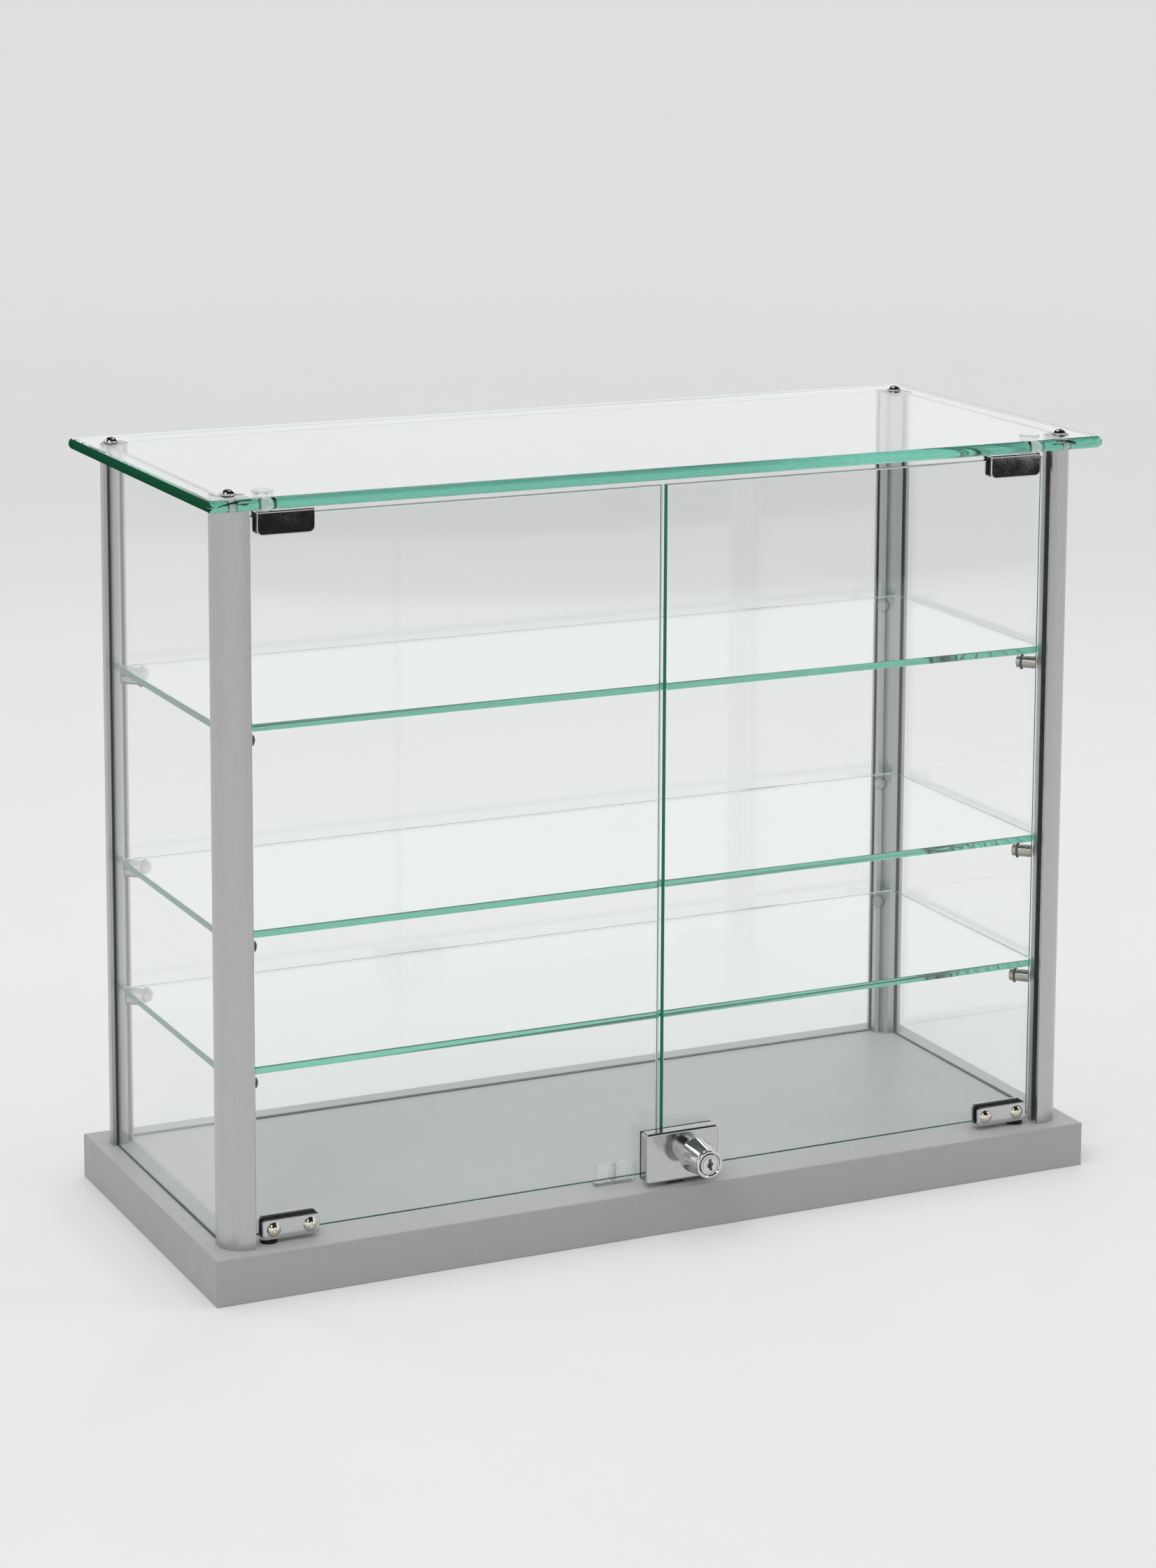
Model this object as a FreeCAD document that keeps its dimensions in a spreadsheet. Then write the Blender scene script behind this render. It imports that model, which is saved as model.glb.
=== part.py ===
import FreeCAD
import Part
import Sketcher
import math
import operator
import os
import types

# Counter-top glass display case: a board base, four slotted aluminium posts, fixed glass on three sides,
# a glass top, three glass shelves on corner pins and two pivoting glass doors with a clamp lock.
# Frame: X along the front, Y to the back, Z up, origin in the middle of the underside of the base board.
# All sizes are in millimetres.

DRIVING_SIZES = {
    # Base board
    "base_width": 800,
    "base_depth": 334,
    "base_height": 38,
    "band_thickness": 1,
    # Corner posts, one extruded section
    "post_width": 25,
    "post_round": 20,
    "post_height": 597,
    "post_side_inset": 13,
    "post_front_inset": 13,
    "post_back_inset": 16,
    "slot_lip": 3,
    "slot_depth": 10,
    "corner_cut": 9,
    "pin_slot_width": 5.6,
    "pin_slot_depth": 6.5,
    "port_inset": 11.5,
    # Fixed glass and its seals
    "pane_thickness": 5,
    "seal_thickness": 1,
    "pane_edge_gap": 2,
    "pane_top_gap": 0.5,
    # Glass top
    "top_thickness": 10,
    "top_side_overhang": 15,
    "top_front_overhang": 18,
    "top_back_overhang": 26,
    "top_corner_round": 6,
    "top_edge_round": 3.5,
    # Screws that hold the top and the posts
    "screw_shank": 5,
    "screw_grip": 25,
    "screw_clearance": 0.2,
    "top_screw_head": 12,
    "top_screw_dome": 3,
    "sleeve_wall": 1.5,
    "sleeve_flange": 13.5,
    "sleeve_flange_height": 0.8,
    "post_screw_head": 11,
    "post_screw_head_height": 4,
    "post_screw_sink": 8,
    # Shelves, with their tops measured up from the base board
    "shelf_thickness": 6,
    "shelf_side_gap": 5,
    "shelf_front_gap": 4,
    "shelf_back_gap": 4,
    "shelf_arris": 0.8,
    "lower_shelf_rise": 140.5,
    "middle_shelf_rise": 252.5,
    "upper_shelf_rise": 419.5,
    # Shelf pins
    "pin_diameter": 10.5,
    "pin_length": 21,
    "pin_stud": 5,
    "pin_stud_length": 5.5,
    "pin_button": 7,
    "pin_button_height": 0.6,
    "ring_section": 1.8,
    "ring_stand": 1.5,
    "ring_setback": 4.5,
    "slide_clearance": 0.1,
    # Doors
    "door_thickness": 6,
    "door_setback": 10,
    "door_side_gap": 3.5,
    "door_meeting_gap": 4,
    "door_bottom_gap": 7.5,
    "door_top_gap": 8.6,
    "door_arris": 0.7,
    "pivot_inset": 12,
    # Hinges
    "hinge_length": 48.5,
    "hinge_edge_inset": 4.5,
    "hinge_plate": 2,
    "hinge_liner": 2,
    "hinge_liner_rise": 0.6,
    "hinge_bracket_rise": 0.6,
    "hinge_plate_round": 2.5,
    "hinge_base_gap": 3.5,
    "lower_hinge_height": 16.5,
    "upper_hinge_height": 19.5,
    "upper_hinge_round": 5,
    "hinge_screw_spacing": 31,
    "hinge_screw_inset": 9.5,
    "hinge_screw_shank": 4,
    "hinge_screw_head": 12,
    "hinge_screw_dome": 3.6,
    "glass_hole": 7,
    "grub_screw": 5,
    "grub_stand": 0.8,
    "pivot_pin": 6,
    "pivot_depth": 8,
    "running_clearance": 0.05,
    "seat_clearance": 0.3,
    "base_bush_flange": 14,
    "base_bush_barrel": 10,
    "bush_floor": 2,
    "top_bush_barrel": 15,
    "top_bush_flange": 18,
    "top_bush_flange_height": 1.2,
    # Lock on the right door
    "lock_width": 67,
    "lock_height": 43,
    "lock_depth": 10.5,
    "lock_wall": 3,
    "lock_overlap": 21.6,
    "lock_base_gap": 3.3,
    "lock_edge_round": 1.8,
    "lock_axis_height": 25.8,
    "lock_axis_offset": 4,
    "lock_lining": 4.5,
    "lining_border": 0.8,
    "lining_door_gap": 0.5,
    "clamp_plate": 3,
    "clamp_web": 2,
    "clamp_height": 30,
    "clamp_lining": 2,
    "clamp_screw": 5,
    "clamp_screw_inset": 12,
    "clamp_screw_rise": 18,
    "collar_diameter": 21,
    "collar_length": 12.7,
    "knob_back_diameter": 29.5,
    "knob_front_diameter": 22,
    "knob_length": 24.5,
    "knob_lip_diameter": 23.5,
    "knob_lip_length": 4.5,
    "plug_head": 18,
    "plug_head_length": 6,
    "plug_shaft": 10,
    "keyway_width": 2.4,
    "keyway_height": 10,
    "keyway_depth": 9,
    "cam_thickness": 1.8,
    "cam_pin": 3,
    "cam_pin_play": 0.4,
    "bolt_width": 13.5,
    "bolt_thickness": 4.6,
    "bolt_height": 38,
    "bolt_travel": 8,
    "bolt_stand": 2.5,
    "bolt_offset": 7.8,
    "strike_depth": 9,
    "strike_clearance": 1,
    # Clear stop behind the left door
    "stop_length": 37,
    "stop_depth": 12.5,
    "stop_height": 20,
    "stop_wall": 4,
    "stop_foot": 4,
    "stop_edge_gap": 17,
    "stop_door_gap": 0.5,
    "stop_boss": 9,
    "stop_boss_height": 15,
    "stop_screw": 3.5,
    "stop_screw_head": 6.5,
    "stop_screw_dome": 2,
    "stop_screw_grip": 15,
}

RIGHT_ANGLE = 90
THIRD_OF_TURN = 120
X_AXIS = FreeCAD.Vector(1, 0, 0)
Z_AXIS = FreeCAD.Vector(0, 0, 1)
UPRIGHT = FreeCAD.Rotation()
FACING_FRONT = FreeCAD.Rotation(X_AXIS, RIGHT_ANGLE)
FACING_SIDE = FreeCAD.Rotation(FreeCAD.Vector(1, 1, 1), THIRD_OF_TURN)
TOUCHING = 1e-6
DIRECTION_DIGITS = 9
LARGEST_ARRIS = 0.4  # share of the thickness of a plate


class Size:
    """A length that carries both its number and the sheet expression it comes from."""

    def __init__(self, number, text):
        self.number = number
        self.text = text

    def __add__(self, other):
        return joined(self, "+", other, operator.add)

    def __radd__(self, other):
        return joined(other, "+", self, operator.add)

    def __sub__(self, other):
        return joined(self, "-", other, operator.sub)

    def __rsub__(self, other):
        return joined(other, "-", self, operator.sub)

    def __mul__(self, other):
        return joined(self, "*", other, operator.mul)

    def __rmul__(self, other):
        return joined(other, "*", self, operator.mul)

    def __truediv__(self, other):
        return joined(self, "/", other, operator.truediv)

    def __neg__(self):
        return ZERO - self


def as_size(amount):
    return amount if isinstance(amount, Size) else Size(amount, str(amount))


def joined(left, sign, right, work):
    left, right = as_size(left), as_size(right)
    return Size(work(left.number, right.number), f"({left.text} {sign} {right.text})")


def smaller(left, right):
    left, right = as_size(left), as_size(right)
    return Size(min(left.number, right.number), f"min({left.text}; {right.text})")


ZERO = Size(0, "0")

doc = FreeCAD.newDocument("DisplayCase")
sheet = doc.addObject("Spreadsheet::Sheet", "Sizes")


# The driving sizes by name, each tied to its cell of the sheet
s = types.SimpleNamespace()
for row, (name, number) in enumerate(DRIVING_SIZES.items(), 1):
    sheet.set(f"A{row}", name)
    sheet.set(f"B{row}", str(number))
    sheet.setAlias(f"B{row}", name)
    setattr(s, name, Size(number, f"Sizes.{name}"))
doc.recompute()

nodes = []


def bind(thing, sizes):
    for prop, size in sizes.items():
        thing.setExpression(prop, as_size(size).text)


def put(thing, place, turn=UPRIGHT):
    """Turns a piece and ties its position to the sheet."""
    numbers = [as_size(p).number for p in place]
    thing.Placement = FreeCAD.Placement(FreeCAD.Vector(*numbers), turn)
    bind(thing, dict(zip(("Placement.Base.x", "Placement.Base.y", "Placement.Base.z"), place)))
    return thing


def block(name, xs, ys, zs):
    """A block between two values along each axis."""
    solid = doc.addObject("Part::Box", name)
    spans = (xs[1] - xs[0], ys[1] - ys[0], zs[1] - zs[0])
    bind(solid, dict(zip(("Length", "Width", "Height"), spans)))
    return put(solid, (xs[0], ys[0], zs[0]))


def rod(name, start, diameter, length, turn=UPRIGHT):
    """A round bar from the middle of its first end, along the turned Z axis."""
    solid = doc.addObject("Part::Cylinder", name)
    bind(solid, {"Radius": diameter / 2, "Height": length})
    return put(solid, start, turn)


def taper(name, start, first, last, length, turn):
    solid = doc.addObject("Part::Cone", name)
    bind(solid, {"Radius1": first / 2, "Radius2": last / 2, "Height": length})
    return put(solid, start, turn)


def fuse(name, solids):
    joint = doc.addObject("Part::MultiFuse", name)
    joint.Shapes = solids
    return joint


def cut(name, base, tools):
    result = doc.addObject("Part::Cut", name)
    result.Base = base
    result.Tool = tools[0] if len(tools) == 1 else fuse(name + "_cuts", tools)
    return result


def group(name, solids):
    """Like pieces that stay separate solids in one node."""
    together = doc.addObject("Part::Compound", name)
    together.Links = solids
    return together


def node(thing):
    nodes.append(thing)
    return thing


def flip(span, side):
    """A span along X for the right side, or its mirror image for the left."""
    return span if side > 0 else (-span[1], -span[0])


def attach_flat(sketch, body):
    plane = [f for f in body.Origin.OriginFeatures if f.Role == "XY_Plane"][0]
    sketch.AttachmentSupport = [(plane, "")]
    sketch.MapMode = "FlatFace"


def pin_point(sketch, geometry, end, place):
    """Ties one point of a sketch to two sheet expressions."""
    for kind, axis, size in zip(("DistanceX", "DistanceY"), (-2, -1), place):
        size = as_size(size)
        if size.text == "0":
            sketch.addConstraint(Sketcher.Constraint("PointOnObject", geometry, end, axis))
        else:
            index = sketch.addConstraint(Sketcher.Constraint(kind, geometry, end, size.number))
            sketch.setExpression(f"Constraints[{index}]", size.text)


def outline(sketch, points):
    """A closed outline of straight sides through the given points."""
    corners = [FreeCAD.Vector(as_size(x).number, as_size(y).number, 0) for x, y in points]
    count = len(points)
    for i in range(count):
        sketch.addGeometry(Part.LineSegment(corners[i], corners[(i + 1) % count]), False)
    for i in range(count):
        sketch.addConstraint(Sketcher.Constraint("Coincident", i, 2, (i + 1) % count, 1))
    for i in range(count):
        pin_point(sketch, i, 1, points[i])


def round_hole(sketch, x, y, diameter):
    middle = FreeCAD.Vector(as_size(x).number, as_size(y).number, 0)
    index = sketch.addGeometry(Part.Circle(middle, Z_AXIS, as_size(diameter).number / 2), False)
    pin_point(sketch, index, 3, (x, y))
    constraint = sketch.addConstraint(Sketcher.Constraint("Diameter", index, as_size(diameter).number))
    sketch.setExpression(f"Constraints[{constraint}]", as_size(diameter).text)


def padded(label, points, holes, length):
    """A body padded up from one sketched outline with round holes through it."""
    body = doc.addObject("PartDesign::Body", label)
    sketch = body.newObject("Sketcher::SketchObject", label + "_sketch")
    attach_flat(sketch, body)
    outline(sketch, points)
    for x, y, diameter in holes:
        round_hole(sketch, x, y, diameter)
    pad = body.newObject("PartDesign::Pad", label + "_pad")
    pad.Profile = sketch
    bind(pad, {"Length": length})
    body.Tip = pad
    doc.recompute()
    return body


def round_edges(body, wanted, radius, name):
    """Rounds the edges of a body that pass a test of place."""
    base = body.Tip
    found = [f"Edge{i}" for i, edge in enumerate(base.Shape.Edges, 1) if wanted(edge)]
    fillet = body.newObject("PartDesign::Fillet", f"{body.Label}_{name}")
    fillet.Base = (base, found)
    bind(fillet, {"Radius": radius})
    body.Tip = fillet
    doc.recompute()


def upright_edge_at(x, y):
    def test(edge):
        return all(abs(v.X - x.number) < TOUCHING and abs(v.Y - y.number) < TOUCHING for v in edge.Vertexes)
    return test


def rim_edge(heights):
    """The outer edges of a plate's faces, without the rims of its holes."""
    def test(edge):
        flat = any(all(abs(v.Z - z) < TOUCHING for v in edge.Vertexes) for z in heights)
        return flat and not edge.isClosed()
    return test


def plate(label, width, height, thickness, holes=(), corner=None, corners="all", arris=None, faces="both"):
    """A flat plate from its own corner, with rounded corners and worked edges where asked for."""
    points = [(ZERO, ZERO), (width, ZERO), (width, height), (ZERO, height)]
    body = padded(label, points, holes, thickness)
    if corner is not None:
        chosen = points if corners == "all" else points[:2]
        tests = [upright_edge_at(x, y) for x, y in chosen]
        round_edges(body, lambda edge: any(test(edge) for test in tests), corner, "corners")
    if arris is not None:
        heights = (0, thickness.number) if faces == "both" else (thickness.number,)
        round_edges(body, rim_edge(heights), smaller(arris, thickness * LARGEST_ARRIS), "edges")
    return body


def dome_screw(name, start, head, dome, shank, length, turn):
    """A screw with a domed head. Its shank runs back from the seat of the head."""
    ball_radius = (head * head / 4 + dome * dome) / (dome * 2)
    outward = turn.multVec(Z_AXIS)
    disc = rod(name + "_disc", start, head, dome, turn)
    ball = doc.addObject("Part::Sphere", name + "_ball")
    bind(ball, {"Radius": ball_radius})
    put(ball, [p + (dome - ball_radius) * round(c, DIRECTION_DIGITS) for p, c in zip(start, outward)])
    cap = doc.addObject("Part::Common", name + "_cap")
    cap.Base = disc
    cap.Tool = ball
    stem_start = [p - length * round(c, DIRECTION_DIGITS) for p, c in zip(start, outward)]
    return fuse(name, [cap, rod(name + "_stem", stem_start, shank, length, turn)])


# Levels and lines that several pieces share
base_top = s.base_height
base_right = s.base_width / 2
base_back = s.base_depth / 2
post_outer = base_right - s.post_side_inset
post_front = s.post_front_inset - base_back
post_back = base_back - s.post_back_inset
post_top = base_top + s.post_height
post_inner = post_outer - s.post_width
top_face = post_top + s.top_thickness
slot_width = s.pane_thickness + s.seal_thickness * 2
pane_outer = post_outer - s.slot_lip - s.seal_thickness
pane_inner = pane_outer - s.pane_thickness
pane_back = post_back - s.slot_lip - s.seal_thickness
port_diameter = s.screw_shank + s.screw_clearance
port_x = post_outer - s.port_inset
port_front = post_front + s.port_inset
port_back = post_back - s.port_inset
door_front = post_front + s.door_setback
door_back = door_front + s.door_thickness
door_middle = door_front + s.door_thickness / 2
door_edge = post_inner - s.door_side_gap
door_meeting = s.door_meeting_gap / 2
door_bottom = base_top + s.door_bottom_gap
door_top = post_top - s.door_top_gap
door_width = door_edge - door_meeting
door_height = door_top - door_bottom
pivot_x = door_edge - s.pivot_inset
pivot_bore = s.pivot_pin + s.running_clearance * 2
bush_seat = s.base_bush_barrel + s.running_clearance * 2
hinge_outer = door_edge - s.hinge_edge_inset
hinge_inner = hinge_outer - s.hinge_length
lower_hinge_bottom = base_top + s.hinge_base_gap
lower_hinge_top = lower_hinge_bottom + s.lower_hinge_height
lower_hinge_middle = lower_hinge_bottom + s.lower_hinge_height / 2
upper_hinge_top = door_top + s.hinge_liner + s.hinge_plate
upper_hinge_bottom = upper_hinge_top - s.upper_hinge_height
upper_hinge_middle = upper_hinge_bottom + s.upper_hinge_height / 2
liner_front = door_front - s.hinge_liner
liner_back = door_back + s.hinge_liner
hinge_front = liner_front - s.hinge_plate
hinge_back = liner_back + s.hinge_plate
hinge_screw_outer = hinge_outer - s.hinge_screw_inset
hinge_screw_xs = (hinge_screw_outer, hinge_screw_outer - s.hinge_screw_spacing)
hinge_screw_hole = s.hinge_screw_shank + s.screw_clearance
bush_hole_depth = s.pivot_depth + s.bush_floor
lock_left = door_meeting - s.lock_overlap
lock_right = lock_left + s.lock_width
lock_bottom = base_top + s.lock_base_gap
lock_top = lock_bottom + s.lock_height
lock_back = door_front - s.lock_lining
lock_front = lock_back - s.lock_depth
lock_x = lock_left + s.lock_width / 2 + s.lock_axis_offset
lock_z = lock_bottom + s.lock_axis_height
plug_bore = s.plug_shaft + s.running_clearance * 2
cam_radius = s.bolt_travel / math.sqrt(2)
cam_diameter = (cam_radius + s.cam_pin) * 2
cam_front = lock_front + s.lock_wall
bolt_xs = (lock_x - s.bolt_offset - s.bolt_width / 2, lock_x - s.bolt_offset + s.bolt_width / 2)
bolt_ys = (lock_back - s.slide_clearance - s.bolt_thickness, lock_back - s.slide_clearance)
bolt_bottom = lock_bottom - s.bolt_stand
bolt_top = bolt_bottom + s.bolt_height
stop_right = -door_meeting - s.stop_edge_gap
stop_left = stop_right - s.stop_length
stop_front = door_back + s.stop_door_gap
stop_x = stop_right - s.stop_length / 2
stop_y = stop_front + s.stop_depth - s.stop_boss / 2
post_corners = [("front_left", -1, -1), ("front_right", 1, -1), ("back_right", 1, 1), ("back_left", -1, 1)]


def corner_port(side_x, side_y):
    return port_x * side_x, port_front if side_y < 0 else port_back


def base_pieces():
    """The board with its bores, and its edge bands."""
    core_xs = (s.band_thickness - base_right, base_right - s.band_thickness)
    core_ys = (s.band_thickness - base_back, base_back - s.band_thickness)
    zs = (ZERO, base_top)
    board = block("board_blank", core_xs, core_ys, zs)
    bores = []
    for label, side_x, side_y in post_corners:
        x, y = corner_port(side_x, side_y)
        bores.append(rod("bore_" + label, (x, y, zs[0]), port_diameter, s.base_height))
        sink_diameter = s.post_screw_head + s.screw_clearance * 2
        bores.append(rod("sink_" + label, (x, y, zs[0]), sink_diameter, s.post_screw_sink))
    for side in (-1, 1):
        seat = (pivot_x * side, door_middle, base_top - bush_hole_depth)
        bores.append(rod(f"bush_bore_{side + 1}", seat, bush_seat, bush_hole_depth))
    strike_xs = (bolt_xs[0] - s.strike_clearance, bolt_xs[1] + s.strike_clearance)
    strike_ys = (bolt_ys[0] - s.strike_clearance, bolt_ys[1] + s.strike_clearance)
    bores.append(block("strike_hole", strike_xs, strike_ys, (base_top - s.strike_depth, base_top)))
    stop_foot = (stop_x, stop_y, base_top - s.stop_screw_grip)
    bores.append(rod("stop_bore", stop_foot, s.stop_screw + s.screw_clearance, s.stop_screw_grip))
    node(cut("base_board", board, bores))

    full_xs = (-base_right, base_right)
    bands = [block("band_front", full_xs, (-base_back, core_ys[0]), zs),
             block("band_back", full_xs, (core_ys[1], base_back), zs),
             block("band_left", (-base_right, core_xs[0]), core_ys, zs),
             block("band_right", (core_xs[1], base_right), core_ys, zs)]
    node(group("base_edge_bands", bands))


def post_section():
    """Half of the section runs along one side, the other half mirrors it about the diagonal."""
    w = s.post_width
    slot_end = s.slot_lip + slot_width
    slot_bottom = w - s.slot_depth
    cut_middle = w - s.corner_cut / 2
    half_slot = s.pin_slot_width / (2 * math.sqrt(2))
    slot_run = s.pin_slot_depth / math.sqrt(2)
    near = (cut_middle + half_slot, cut_middle - half_slot)
    deep = (near[0] - slot_run, near[1] - slot_run)
    side = [(w, ZERO), (w, s.slot_lip), (slot_bottom, s.slot_lip), (slot_bottom, slot_end), (w, slot_end),
            (w, w - s.corner_cut), near, deep]
    return [(ZERO, ZERO)] + side + [(y, x) for x, y in reversed(side)]


def post_pieces():
    """The four posts with their rounded edges outwards, and the screws up through the board."""
    turns = {"front_left": 0, "front_right": 1, "back_right": 2, "back_left": 3}
    port = (s.port_inset, s.port_inset, port_diameter)
    outer_round = smaller(s.post_round, s.post_width - s.slot_lip)
    screws = []
    for label, side_x, side_y in post_corners:
        body = padded("post_" + label, post_section(), [port], s.post_height)
        round_edges(body, upright_edge_at(ZERO, ZERO), outer_round, "round")
        place = (post_outer * side_x, post_front if side_y < 0 else post_back, base_top)
        node(put(body, place, FreeCAD.Rotation(Z_AXIS, RIGHT_ANGLE * turns[label])))

        x, y = corner_port(side_x, side_y)
        head_bottom = s.post_screw_sink - s.post_screw_head_height
        head = rod("screw_head_" + label, (x, y, head_bottom), s.post_screw_head, s.post_screw_head_height)
        stem_length = base_top + s.screw_grip - head_bottom
        stem = rod("screw_stem_" + label, (x, y, head_bottom), s.screw_shank, stem_length)
        screws.append(fuse("post_screw_" + label, [head, stem]))
    node(group("post_screws", screws))


def channel(name, outer, inner):
    """A seal or liner: what is left of an outer block round the glass that it grips."""
    return cut(name, block(name + "_outer", *outer), [block(name + "_glass", *inner)])


def fixed_glass():
    """The side and back panes, each in seals in two posts and on a seal strip on the board."""
    low = base_top + s.seal_thickness
    high = post_top - s.pane_top_gap
    edge_front = post_front + s.post_width - s.slot_depth
    edge_back = post_back - s.post_width + s.slot_depth
    for label, side in (("left", -1), ("right", 1)):
        xs = flip((pane_inner, pane_outer), side)
        ys = (edge_front + s.pane_edge_gap, edge_back - s.pane_edge_gap)
        pane = plate("glass_side_" + label, ys[1] - ys[0], high - low, s.pane_thickness)
        node(put(pane, (xs[0], ys[0], low), FACING_SIDE))
        seal_xs = flip((pane_inner - s.seal_thickness, pane_outer + s.seal_thickness), side)
        glass = (xs, ys, (low, high))
        between = (edge_front + s.slot_depth, edge_back - s.slot_depth)
        seals = []
        for end, slot_ys in (("front", (edge_front, between[0])), ("back", (between[1], edge_back))):
            seals.append(channel(f"seal_{label}_{end}", (seal_xs, slot_ys, (base_top, high)), glass))
        seals.append(block(f"seal_{label}_strip", xs, between, (base_top, low)))
        node(group("seals_side_" + label, seals))

    edge = post_inner + s.slot_depth
    xs = (s.pane_edge_gap - edge, edge - s.pane_edge_gap)
    ys = (pane_back - s.pane_thickness, pane_back)
    pane = plate("glass_back", xs[1] - xs[0], high - low, s.pane_thickness)
    node(put(pane, (xs[0], ys[1], low), FACING_FRONT))
    seal_ys = (ys[0] - s.seal_thickness, ys[1] + s.seal_thickness)
    glass = (xs, ys, (low, high))
    seals = []
    for side in (-1, 1):
        slot_xs = flip((post_inner, edge), side)
        seals.append(channel(f"seal_back_{side + 1}", (slot_xs, seal_ys, (base_top, high)), glass))
    seals.append(block("seal_back_strip", (-post_inner, post_inner), ys, (base_top, low)))
    node(group("seals_back", seals))


def top_pieces():
    """The glass top, its four screws and sleeves, and the two door bushes that sit in it."""
    left = post_outer + s.top_side_overhang
    front = post_front - s.top_front_overhang
    depth = post_back + s.top_back_overhang - front
    sleeve = port_diameter + s.sleeve_wall * 2
    holes = []
    for label, side_x, side_y in post_corners:
        x, y = corner_port(side_x, side_y)
        holes.append((left + x, y - front, sleeve + s.running_clearance * 2))
    bush_hole = s.top_bush_barrel + s.running_clearance * 2
    for side in (-1, 1):
        holes.append((left + pivot_x * side, door_middle - front, bush_hole))
    glass = plate("glass_top", left * 2, depth, s.top_thickness, holes, corner=s.top_corner_round,
                  arris=s.top_edge_round)
    node(put(glass, (-left, front, post_top)))

    screws = []
    sleeves = []
    sleeve_length = s.top_thickness + s.sleeve_flange_height
    for label, side_x, side_y in post_corners:
        x, y = corner_port(side_x, side_y)
        barrel = rod("sleeve_barrel_" + label, (x, y, post_top), sleeve, s.top_thickness)
        flange = rod("sleeve_flange_" + label, (x, y, top_face), s.sleeve_flange, s.sleeve_flange_height)
        bore = rod("sleeve_bore_" + label, (x, y, post_top), port_diameter, sleeve_length)
        sleeves.append(cut("sleeve_" + label, fuse("sleeve_blank_" + label, [barrel, flange]), [bore]))
        seat = (x, y, top_face + s.sleeve_flange_height)
        screws.append(dome_screw("top_screw_" + label, seat, s.top_screw_head, s.top_screw_dome,
                                 s.screw_shank, sleeve_length + s.screw_grip, UPRIGHT))
    node(group("top_screws", screws))
    node(group("top_screw_sleeves", sleeves))

    bushes = []
    for side in (-1, 1):
        foot = (pivot_x * side, door_middle, upper_hinge_top + s.seat_clearance)
        seat = (pivot_x * side, door_middle, top_face)
        barrel = rod(f"top_bush_barrel_{side + 1}", foot, s.top_bush_barrel, top_face - foot[2])
        flange = rod(f"top_bush_flange_{side + 1}", seat, s.top_bush_flange, s.top_bush_flange_height)
        bore = rod(f"top_bush_bore_{side + 1}", foot, pivot_bore, post_top + s.pivot_depth - foot[2])
        blank = fuse(f"top_bush_blank_{side + 1}", [barrel, flange])
        bushes.append(cut(f"top_bush_{side + 1}", blank, [bore]))
    node(group("top_bushes", bushes))


def shelf_pieces(label, rise):
    """One glass shelf, the four pins under its corners and the rubber rings that it lies on."""
    half = pane_inner - s.shelf_side_gap
    front = post_front + s.post_width + s.shelf_front_gap
    depth = post_back - s.post_width - s.shelf_back_gap - front
    bottom = base_top + rise - s.shelf_thickness
    glass = plate("shelf_" + label, half * 2, depth, s.shelf_thickness, arris=s.shelf_arris)
    node(put(glass, (-half, front, bottom)))

    ring_middle = s.pin_diameter / 2 + s.ring_stand - s.ring_section / 2
    axis_z = bottom - s.running_clearance - s.pin_diameter / 2 - s.ring_stand
    root = s.post_width - s.corner_cut / 2
    pins = []
    rings = []
    for corner, side_x, side_y in post_corners:
        name = f"{label}_{corner}"
        along = FreeCAD.Vector(-side_x, -side_y, 0).normalize()
        turn = FreeCAD.Rotation(Z_AXIS, along)
        seat = ((post_outer - root) * side_x, post_front + root if side_y < 0 else post_back - root, axis_z)

        def on_axis(distance):
            return [p + distance * round(c, DIRECTION_DIGITS) for p, c in zip(seat, along)]

        barrel = rod("pin_barrel_" + name, on_axis(s.slide_clearance), s.pin_diameter, s.pin_length, turn)
        stud = rod("pin_stud_" + name, on_axis(-s.pin_stud_length), s.pin_stud,
                   s.pin_stud_length + s.slide_clearance, turn)
        button = rod("pin_button_" + name, on_axis(s.slide_clearance + s.pin_length), s.pin_button,
                     s.pin_button_height, turn)
        ring_place = on_axis(s.slide_clearance + s.pin_length - s.ring_setback)
        groove = doc.addObject("Part::Torus", "pin_groove_" + name)
        bind(groove, {"Radius1": ring_middle, "Radius2": s.ring_section / 2 + s.running_clearance})
        put(groove, ring_place, turn)
        pins.append(cut("pin_" + name, fuse("pin_blank_" + name, [barrel, stud, button]), [groove]))
        ring = doc.addObject("Part::Torus", "ring_" + name)
        bind(ring, {"Radius1": ring_middle, "Radius2": s.ring_section / 2})
        rings.append(put(ring, ring_place, turn))
    node(group("shelf_pins_" + label, pins))
    node(group("shelf_pin_rings_" + label, rings))


def bars_through(name, xs, z, diameter, front, back):
    """Round bars along Y, used as screws and as the holes for them."""
    length = back - front
    return [rod(f"{name}_{i}", (x, back, z), diameter, length, FACING_FRONT) for i, x in enumerate(xs)]


def door_glass(label, side):
    xs = flip((door_meeting, door_edge), side)
    holes = [(x * side - xs[0], lower_hinge_middle - door_bottom, s.glass_hole) for x in hinge_screw_xs]
    glass = plate("door_" + label, door_width, door_height, s.door_thickness, holes, arris=s.door_arris)
    node(put(glass, (xs[0], door_back, door_bottom), FACING_FRONT))


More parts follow.
